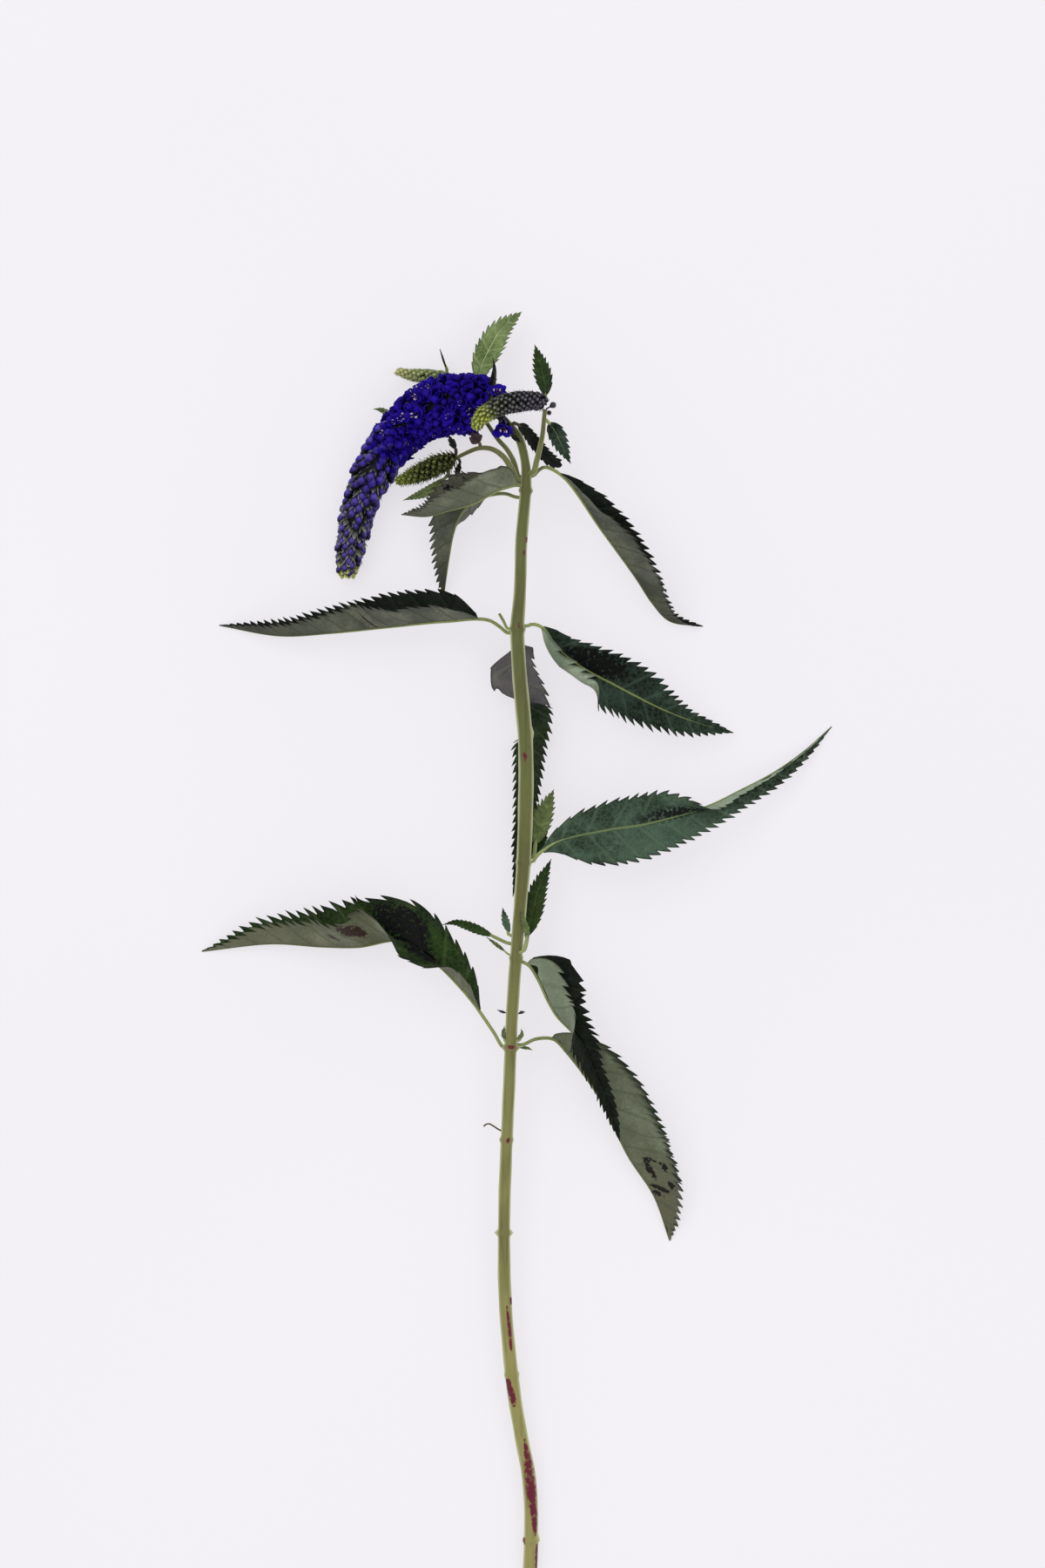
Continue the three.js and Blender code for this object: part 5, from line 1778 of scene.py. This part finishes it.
LEAVES = (
    Leaf(
        "first_whorl_front_leaf", half_width=10.8, stalk=0.02, green=Green.PEWTER, teeth=Teeth(2.2, 1.4),
        route=(
            (-2.2, 358.3, 21.8), (-6.8, 357.2, 22.6), (-10.8, 355.1, 22.5), (-14.9, 352.9, 22.3),
            (-24.3, 350.2, 21), (-29.7, 348.8, 20), (-37.5, 349.4, 18.5),
        ),
        folds=(
            (0, 132, 188), (0.12, 133, 188), (0.28, 135, 188), (0.42, 126, 188), (0.55, 118, 188),
            (0.75, 121, 188), (1, 132, 188),
        ),
        widths=(
            (0.02, 0, 0), (0.1, 7.5, 2), (0.24, 9.2, 7.5), (0.4, 10.3, 10.6), (0.52, 10, 10.8),
            (0.62, 9, 9), (0.74, 6.6, 6), (0.85, 3.6, 3.2), (0.94, 1.3, 1.3), (1, 0, 0),
        ),
        curls=((0, 12, -12), (1, 10, -10)),
        stains=(Stain(0.42, 0.7, 0.035, 0.11), Stain(0.34, 0.88, 0.07, 0.04), Stain(0.26, 0.8, 0.02, 0.06)),
    ),
    Leaf(
        "first_whorl_hanging_leaf", half_width=9.0, stalk=0.2,
        route=(
            (-2.2, 354.8, 17.5), (-5.4, 355.9, 16), (-10.8, 355.3, 14.5), (-16.2, 352.9, 13),
            (-19.4, 349.4, 12), (-21.6, 343.7, 10), (-23, 336.2, 7), (-24.8, 323.2, 0.27),
        ),
        folds=(
            (0, 178, 250), (0.25, 178, 284), (0.34, 178, 288), (0.43, 178, 290), (0.5, 178, 282),
            (0.56, 178, 262), (0.64, 178, 235), (1, 180, 210),
        ),
        widths=(
            (0.2, 0, 0), (0.3, 6, 6), (0.4, 9.8, 8.4), (0.53, 7.4, 5), (0.7, 5, 3.4), (0.85, 2.9, 2.2),
            (1, 0, 0),
        ),
    ),
    Leaf(
        "first_whorl_right_leaf", half_width=8.6, stalk=0.12,
        route=(
            (3.2, 361.2, 18.6), (5.2, 363.2, 18.9), (7.2, 364, 19.6), (13.5, 360.2, 20.6),
            (24.3, 345.1, 18), (35.1, 330.2, 12.2), (40.5, 322.1, 7.5), (45.9, 316.7, 3.6),
            (56.2, 315.1, 0.27),
        ),
        folds=((0.24, -3, 66), (0.38, -3, 50), (0.5, -3, 38), (0.85, -3, 36), (1, -3, 120)),
        widths=(
            (0.12, 0, 0), (0.2, 3.2, 3), (0.3, 6.8, 6.8), (0.42, 8.4, 8.8), (0.55, 8.2, 9.2),
            (0.7, 6.2, 7.2), (0.85, 3.4, 3.8), (0.95, 1.2, 1.4), (1, 0, 0),
        ),
        curls=level(8, 12),
    ),
    Leaf(
        "second_whorl_left_leaf", half_width=10.4, stalk=0.11,
        route=(
            (-4.6, 312.7, 18.8), (-7.3, 314.8, 19.5), (-10.8, 316.7, 20), (-24.3, 316.4, 19),
            (-40.5, 314.8, 16), (-59.4, 312.9, 11.5), (-75.6, 312.1, 7), (-94.5, 315.4, 0.27),
        ),
        folds=(
            (0.25, 112, 188), (0.36, 114, 188), (0.45, 122, 187), (0.5, 142, 187), (0.58, 138, 186),
            (0.66, 128, 186), (0.8, 127, 186), (1, 110, 180),
        ),
        widths=(
            (0.11, 0, 0), (0.15, 4.5, 5), (0.19, 8.6, 8.9), (0.25, 9.7, 9.7), (0.32, 10.3, 10.2),
            (0.42, 10.3, 10.2), (0.48, 9.2, 9.1), (0.55, 8.6, 8.6), (0.61, 7.8, 7.7), (0.67, 6.8, 6.8),
            (0.73, 5.5, 5.5), (0.8, 4.7, 4.7), (0.87, 3.3, 3.3), (0.96, 1.1, 1.1), (1, 0, 0),
        ),
        curls=((0, 10, -12), (1, 10, -10)), stains=(Stain(0.38, -0.25, 0.006, 0.5, 0.9),),
    ),
    Leaf(
        "second_whorl_right_leaf", half_width=9.2, stalk=0.07, green=Green.DEEP, teeth=Teeth(3.0, 2.2),
        route=(
            (1.1, 314.8, 18.8), (3.2, 315.4, 19.5), (6.2, 314.3, 20.2), (12.2, 307, 20.5),
            (18.9, 301.9, 19.8), (27.8, 297, 18), (43.2, 289.2, 12.8), (54, 285.1, 8.5), (65.6, 281.9, 4),
        ),
        folds=((0.36, 5, 200), (0.43, 5, 168), (1, 8, 165)),
        widths=(
            (0.07, 0, 0), (0.12, 3, 7), (0.16, 4.4, 10.2), (0.22, 6, 11.2), (0.31, 8, 11.4),
            (0.38, 8.8, 10.6), (0.44, 9.2, 8.8), (0.5, 9.3, 8), (0.565, 9, 7.8), (0.62, 7.9, 7.4),
            (0.69, 5.8, 6.4), (0.8, 2.9, 4.9), (0.88, 2.1, 3), (0.94, 1.2, 1.5), (1, 0, 0),
        ),
        curls=((0.36, 0, -214), (0.43, -8, 0), (1, -10, 8)),
        stains=(Stain(0.26, -0.4, 0.14, 0.55, 1.0),),
    ),
    Leaf(
        "second_whorl_back_leaf", half_width=9.0, stalk=0.02, green=Green.MAUVE,
        route=(
            (-1.6, 311, 15), (-1.6, 307, 12.5), (-0.8, 301.1, 10), (0.5, 293, 8), (1.6, 282.2, 6.2),
            (1.4, 260.6, 3.5), (0.5, 249.8, 2.4), (-3, 230.9, 0.27),
        ),
        folds=((0.18, 185, 345), (0.3, 5, 345), (0.34, 5, 345), (0.46, 5, 165)),
        widths=(
            (0.03, 0, 4), (0.06, 1.5, 5.4), (0.085, 4, 5.2), (0.11, 9.6, 4.9), (0.14, 9.8, 4.8),
            (0.18, 9.2, 5.8), (0.23, 8.2, 7.3), (0.3, 7.9, 7.4), (0.36, 7.4, 6), (0.43, 5.6, 4.6),
            (0.64, 3.4, 4.2), (0.8, 2.6, 3.4), (1, 0, 0),
        ),
    ),
    Leaf(
        "second_whorl_broken_stalk", half_width=0.9, stalk=1.0, green=Green.BRIGHT, slot="bright_leaf",
        route=((-4.6, 314, 20.5), (-5.9, 316.4, 21.2), (-7.2, 318.6, 21.8)),
    ),
    Leaf(
        "third_whorl_right_leaf", half_width=11.0, stalk=0.04, green=Green.FRESH, teeth=Teeth(3.0, 1.7),
        route=(
            (3, 241.7, 15), (4.6, 243.8, 16), (10.8, 248.1, 18), (27, 251.9, 19), (37.8, 253.5, 18),
            (57.2, 258.9, 13.5), (67.5, 263.8, 10), (78.3, 269.5, 6), (87.8, 276.2, 2.8),
            (96.4, 283.8, 0.27),
        ),
        folds=(
            (0, 5, 175), (0.42, 8, 176), (0.5, 60, 178), (0.58, 138, 178), (0.9, 140, 175), (1, 140, 170),
        ),
        widths=(
            (0.04, 0, 0), (0.095, 3, 4), (0.16, 6.6, 8.6), (0.225, 8, 10.8), (0.3, 9, 11.2),
            (0.37, 9.3, 10.2), (0.44, 8.8, 8.8), (0.49, 7, 7.8), (0.57, 3.3, 6.3), (0.64, 2.1, 5.4),
            (0.75, 1.3, 4.5), (0.84, 0.6, 3.2), (0.92, 0.5, 1.7), (1, 0, 0),
        ),
        curls=((0, -10, 8), (0.45, 0, 8), (1, 0, 10)), stains=(Stain(0.48, -0.2, 0.26, 0.42, 0.6),),
    ),
    Leaf(
        "third_whorl_axil_leaf", half_width=3.3, stalk=0.2, teeth=FINE_TEETH, green=Green.OLIVE,
        slot="bright_leaf",
        route=((3.2, 243.2, 13.6), (4.2, 248.4, 12.3), (5.7, 254.3, 12), (9.7, 264.3, 11.8)),
        folds=level(0, 172),
    ),
    Leaf(
        "third_whorl_dark_leaf", half_width=2.0, stalk=0.12, teeth=FINE_TEETH, green=Green.GRASS,
        route=((1.2, 243.2, 11.2), (4.2, 245.8, 9.6), (7.8, 253.8, 8.4)), folds=level(0, 172),
    ),
    Leaf(
        "fourth_whorl_axil_leaf", half_width=3.1, stalk=0.16, base_round=0.8, teeth=FINE_TEETH,
        green=Green.GRASS,
        route=(
            (0.4, 214.1, 11.4), (1.9, 220.1, 10.9), (3.2, 225.5, 10.9), (4.6, 232.2, 10.9),
            (8.9, 242.7, 10.9),
        ),
        folds=level(5, 170),
    ),
    bract(
        "fourth_whorl_small_leaf",
        ((0.1, 214.1, 15.6), (1.4, 219.8, 16), (0.5, 223.3, 16.5), (-0.5, 226.8, 16.8)),
        1.0, Green.OLIVE, stalk=0.3,
    ),
    bract(
        "fourth_whorl_left_bract", ((-4.1, 219, 13), (-4.9, 222.2, 13), (-6.2, 227.6, 13)),
        1.2, Green.FRESH, stalk=0.12,
    ),
    bract(
        "fourth_whorl_left_leaf",
        (
            (-4.2, 216.5, 13.4), (-10.8, 219.5, 14), (-17.6, 222.2, 13.8), (-21.1, 223, 13.6),
            (-24.8, 222.3, 13.3),
        ),
        1.5, Green.GRASS, stalk=0.26,
    ),
    bract(
        "fourth_whorl_lower_leaf", ((-4.2, 213, 12.3), (-6.5, 214.9, 12.3), (-11.1, 218.4, 12.3)),
        0.6, Green.OLIVE, stalk=0.2,
    ),
    Leaf(
        "fourth_whorl_right_leaf", half_width=11.0, stalk=0.02, green=Green.PALE, teeth=Teeth(2.9, 2.1),
        route=(
            (-0.3, 210.9, 13.5), (2.2, 209.5, 14.5), (4.9, 205.7, 16), (8.1, 198.7, 17.5),
            (10.8, 194.1, 18), (14.3, 190.4, 18.6), (18.4, 186, 18.6), (21.9, 178.2, 18.2),
            (27, 166.1, 16.8), (30.2, 155.2, 15),
        ),
        folds=(
            (0, 0, 18), (0.234, 0, 20), (0.32, 0, 26), (0.39, 3, 50), (0.46, 5, 112), (0.7, 5, 118),
            (1, 8, 140),
        ),
        widths=(
            (0.02, 0, 0), (0.06, 6, 5), (0.1, 10.6, 7.4), (0.131, 12, 8.4), (0.2, 12, 8), (0.28, 11.4, 7.4),
            (0.36, 9.6, 8), (0.42, 6.8, 8.4), (0.49, 4.8, 8.2), (0.62, 3, 6.4), (0.8, 2.2, 3.6),
            (0.93, 1.2, 1.4), (1, 0, 0),
        ),
        curls=((0.4, 8, 12), (0.56, -10, 10)),
    ),
    Leaf(
        "fifth_whorl_left_leaf", half_width=14.6, stalk=0.12, green=Green.MEADOW, teeth=Teeth(3.4, 2.7),
        route=(
            (-5.9, 184.1, 11.2), (-9.2, 189.3, 12.5), (-18.9, 202.8, 15.5), (-29.2, 212.5, 16.5),
            (-37.8, 217.4, 15.8), (-50.8, 215.5, 13), (-62.1, 215.5, 9.8), (-78.3, 216.3, 5),
            (-99.9, 213.8, 0.27),
        ),
        folds=(
            (0, 110, 188), (0.25, 110, 186), (0.33, 60, 180), (0.42, 68, 180), (0.48, 138, 184),
            (0.53, 136, 186), (0.57, 112, 186), (0.63, 120, 186), (0.7, 128, 186), (0.76, 134, 185),
            (0.82, 130, 184), (1, 115, 184),
        ),
        widths=(
            (0.12, 0, 0), (0.205, 7, 6), (0.33, 10, 10), (0.42, 12.5, 12.6), (0.54, 15, 15),
            (0.64, 12.4, 12.4), (0.73, 9.7, 9.7), (0.785, 8.3, 8.3), (0.84, 7, 7), (0.93, 3.1, 3.1),
            (1, 0, 0),
        ),
        curls=((0, 10, -12), (1, 10, -10)),
        stains=(
            Stain(0.42, -0.6, 0.025, 0.35), Stain(0.5, -0.45, 0.012, 0.15, 0.8), Stain(0.3, 0.3, 0.07, 0.6),
            Stain(0.25, -0.15, 0.06, 0.3),
        ),
    ),
    Leaf(
        "fifth_whorl_right_leaf", half_width=14.0, stalk=0.12, green=Green.SAGE,
        route=(
            (0, 185, 11.2), (4.1, 186.8, 12), (9.5, 186.8, 12.3), (13.5, 183.3, 12), (24.3, 168.2, 9.5),
            (32.9, 150.4, 6), (41, 137.7, 3.2), (45.9, 123.7, 0.27),
        ),
        folds=((0, -6, 24), (1, -4, 22)),
        widths=(
            (0.12, 0, 0), (0.18, 7, 7.6), (0.28, 11.2, 11.8), (0.405, 13, 13.4), (0.55, 13.8, 14.3),
            (0.64, 13.6, 14.1), (0.75, 11.2, 11.7), (0.82, 9.2, 9.7), (0.92, 5, 5.2), (1, 0, 0),
        ),
        curls=level(8, 8),
        stains=(
            Stain(0.6, 0.42, 0.014, 0.14), Stain(0.66, 0.3, 0.055, 0.09), Stain(0.7, 0.75, 0.025, 0.1),
            Stain(0.745, 0.35, 0.014, 0.3), Stain(0.62, 0.7, 0.025, 0.08),
            Stain(0.78, 0.15, 0.02, 0.2, 0.8),
        ),
    ),
    bract(
        "fifth_whorl_left_bract", ((-5.4, 186, 12.3), (-5.9, 188.5, 12.5), (-5.6, 190.9, 12.5)),
        0.7, Green.OLIVE,
    ),
    bract(
        "fifth_whorl_right_bract", ((-0.8, 186.4, 13.2), (-0.2, 188.3, 13.6), (-0.4, 190, 13.6)),
        0.7, Green.OLIVE,
    ),
    bract("fifth_whorl_small_bract", ((0.3, 184, 9.3), (1.6, 183.9, 9.2), (3, 183.3, 9)), 0.5, Green.OLIVE),
    bract(
        "left_scale", ((-4.9, 194.8, 10.6), (-6.5, 195.3, 10.6), (-7.8, 195.8, 10.6)),
        0.4, Green.DRIED, slot="dried_leaf",
    ),
    bract(
        "right_scale", ((-0.7, 194.7, 10.8), (0, 195.1, 10.8), (0.8, 195.2, 10.8)),
        0.5, Green.DRIED, slot="dried_leaf",
    ),
    Leaf(
        "dried_leaf_stalk", half_width=0.5, stalk=1.0, green=Green.DRIED, slot="dried_leaf",
        route=(
            (-4.9, 158, 8.3), (-7, 158.4, 8.6), (-9.2, 159.8, 8.8), (-10.8, 160.5, 8.9), (-12.1, 159.6, 9),
        ),
    ),
    Leaf(
        "top_leaf", half_width=4.1, on="main_spike", stalk=0.03, taper=1.0, teeth=Teeth(2.1, 1.1),
        green=Green.BRIGHT, slot="bright_leaf",
        route=(
            (-13.8, 390.7, 14.5), (-12.7, 395.6, 13), (-10.3, 401, 11.5), (-6.8, 406.9, 10.5),
            (-0.3, 412.6, 9),
        ),
        folds=((0, 5, 172), (1, 15, 165)),
    ),
    Leaf(
        "narrow_top_leaf", half_width=1.0, on="main_spike", base_round=0.35, teeth=NO_TEETH,
        green=Green.BLACK,
        route=((-8.4, 391, 20.3), (-8.7, 394.5, 19.7), (-9.2, 398, 19)),
    ),
    Leaf(
        "edge_on_leaf", half_width=1.0, on="back_side_spike", teeth=NO_TEETH, green=Green.GRASS,
        route=((-23.5, 394.6, 5), (-24.3, 396.9, 4.7), (-25.7, 401.2, 4.4)),
        folds=level(76, 106),
    ),
    bract(
        "spike_leaf_tip", ((-41.3, 381.8, 6), (-44, 382.3, 5.5), (-46.4, 382.6, 5)),
        1.0, Green.OLIVE, on="main_spike",
    ),
    Leaf(
        "upper_bract", half_width=2.7, on="right_side_spike", stalk=0.08, teeth=FINE_TEETH,
        green=Green.GRASS,
        route=((7, 384.2, 25.5), (7, 388.8, 24.5), (5.9, 394.2, 23), (3.8, 401.8, 21)),
        folds=level(0, 170),
    ),
    Leaf(
        "lower_bract", half_width=2.7, on="right_branch", stalk=0.08, base_round=0.55, teeth=FINE_TEETH,
        green=Green.DEEP,
        route=((7.3, 378.4, 24.2), (10, 374.9, 23.3), (12.2, 370.4, 22), (14.9, 365, 20)),
        folds=level(-5, 165),
    ),
    Leaf(
        "rolled_leaf", half_width=1.9, on="main_spike", stalk=0.05, teeth=FINE_TEETH, green=Green.BLACK,
        route=(
            (-2.7, 377.5, 23.5), (0, 376.1, 23.5), (2.7, 373.1, 21), (6, 369, 19), (8.6, 366.4, 18.5),
            (12.2, 364.5, 18),
        ),
        widths=((0.05, 0, 0), (0.12, 1.5, 1.5), (0.5, 2.1, 2.1), (0.85, 2, 2), (0.96, 1.4, 1.4), (1, 0, 0)),
    ),
    bract(
        "rolled_leaf_strand", ((-3.8, 374, 20.6), (-2.2, 372.9, 21), (-0.6, 371.8, 21)),
        0.8, Green.BLACK, on="main_spike",
    ),
    bract(
        "folded_brown_leaf",
        ((-13.2, 371.2, 18.6), (-14, 372.3, 18.6), (-15, 373.6, 18.9), (-15.6, 375, 19.2)),
        2.3, Green.DRIED, on="left_branch", slot="dried_leaf", folds=level(30, 150), stalk=0.08,
        base_round=0.6,
    ),
    bract(
        "small_dark_bract", ((-20.6, 369.2, 15.4), (-21.6, 371.4, 15.4), (-23, 374, 14.9)),
        1.1, Green.BLACK, on="left_side_spike",
    ),
    bract(
        "drooping_bract", ((-19.4, 366, 15), (-20, 363.4, 14.2), (-21.1, 361, 13.6)),
        0.9, Green.BLACK, on="left_branch",
    ),
    bract(
        "left_spike_leaf", ((-22.8, 362.6, 12.7), (-25, 360, 11.7), (-29.2, 356.9, 11.5), (-37, 354, 10.8)),
        1.6, Green.OLIVE, on="left_side_spike", stalk=0.12, slot="bright_leaf",
    ),
)


# ---------------- the studio


@dataclass(frozen=True)
class Studio:
    """A pale floor, two soft lamps over it, and a camera that looks straight down; all in metres."""

    FLOOR_HALF_SIZE = 30.0
    FRAME_HEIGHT = 0.486  # of what the camera sees at the plant's level
    FRAME_CENTRE = (0.0017, 0.05965)
    PLANT_LEVEL = 0.015
    LENS, SENSOR = 200.0, 36.0  # in millimetres
    NEAR, FAR = 0.05, 200.0  # what the camera sees lies between them
    LIT_Y = 0.05  # where the lamps point

    floor_colour: str = "7c7b7d"
    floor_clouds: str = "7f7e80"
    glow_colour: str = "f3f0f4"
    floor_glow: float = 0.72
    sky_colour: tuple[float, ...] = (0.93, 0.93, 0.97, 1.0)
    sky_strength: float = 0.98
    lamps: tuple[tuple[float, float, float, float, float], ...] = (
        (-0.75, 0.75, 1.5, 1.3, 9.5),
        (0.85, -0.35, 1.6, 1.3, 5.0),
    )  # x, y, z and size, and power in watts

    def build(self) -> None:
        """Makes the floor, the sky, the lamps and the camera."""
        self.floor()
        self.sky()
        for number, (x, y, z, size, power) in enumerate(self.lamps, 1):
            lamp = bpy.data.lights.new(f"soft_lamp_{number}", "AREA")
            lamp.shape, lamp.size, lamp.energy = "DISK", size, power
            holder = bpy.data.objects.new(lamp.name, lamp)
            holder.location = (x, y, z)
            holder.rotation_euler = aim(np.array([-x, self.LIT_Y - y, -z]))
            bpy.context.scene.collection.objects.link(holder)
        self.camera()
        bpy.context.scene.view_settings.view_transform = "Standard"

    def floor(self) -> None:
        """A level square under the plant, in a plain matt colour that glows a little."""
        half = self.FLOOR_HALF_SIZE
        mesh = bpy.data.meshes.new("floor")
        corner = ((-half, -half, 0), (half, -half, 0), (half, half, 0), (-half, half, 0))
        mesh.from_pydata(corner, [], [(0, 1, 2, 3)])
        shader = Shader("floor_paper")
        clouds = shader.ease(shader.noise(3, 2.0), 0.3, 0.7)
        tint = shader.mix(clouds, self.floor_colour, self.floor_clouds)
        glow = {"Emission_Color": linear(self.glow_colour), "Emission_Strength": self.floor_glow}
        mesh.materials.append(shader.finish(tint, Roughness=0.9, Specular_IOR_Level=0.1, **glow))
        floor = bpy.data.objects.new("floor", mesh)
        bpy.context.scene.collection.objects.link(floor)
        floor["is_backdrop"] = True

    def sky(self) -> None:
        """An even pale light from all sides."""
        world = bpy.data.worlds.new("studio_sky")
        world.use_nodes = True
        background = world.node_tree.nodes["Background"]
        background.inputs["Color"].default_value = self.sky_colour
        background.inputs["Strength"].default_value = self.sky_strength
        bpy.context.scene.world = world

    def camera(self) -> None:
        """The camera, over the middle of the plant, far enough away to see all of it."""
        lens = bpy.data.cameras.new("camera")
        lens.lens, lens.sensor_width, lens.sensor_fit = self.LENS, self.SENSOR, "AUTO"
        lens.clip_start, lens.clip_end = self.NEAR, self.FAR
        camera = bpy.data.objects.new("camera", lens)
        distance = self.LENS / self.SENSOR * self.FRAME_HEIGHT
        camera.location = (*self.FRAME_CENTRE, self.PLANT_LEVEL + distance)
        bpy.context.scene.collection.objects.link(camera)
        bpy.context.scene.camera = camera


def aim(direction: Array) -> Point:
    """The turn that makes a lamp shine along a direction, as Blender's three angles."""
    x, y, z = (float(v) for v in direction)
    return (float(np.arctan2(np.hypot(x, y), -z)), 0.0, float(np.arctan2(y, x) - np.pi / 2))


def corners() -> list[list[float]]:
    """The lowest and highest corner of what is shown, as plain lists."""
    return [[float(v) for v in corner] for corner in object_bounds()]


def main() -> None:
    """Builds the plant piece by piece around the frame."""
    logging.basicConfig(level=logging.INFO, format="%(name)s: %(message)s")
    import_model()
    Studio().build()
    hosts = STEM.build()
    VIOLET_SPIKE.build()
    hosts["main_spike"] = VIOLET_SPIKE.core
    for spike in GREEN_SPIKES:
        spike.build()
        hosts[spike.node] = spike.core
    for bud in ROUND_BUDS:
        bud.build(hosts)
    for leaf in LEAVES:
        leaf.build(hosts)
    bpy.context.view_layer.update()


if __name__ == "__main__":
    main()
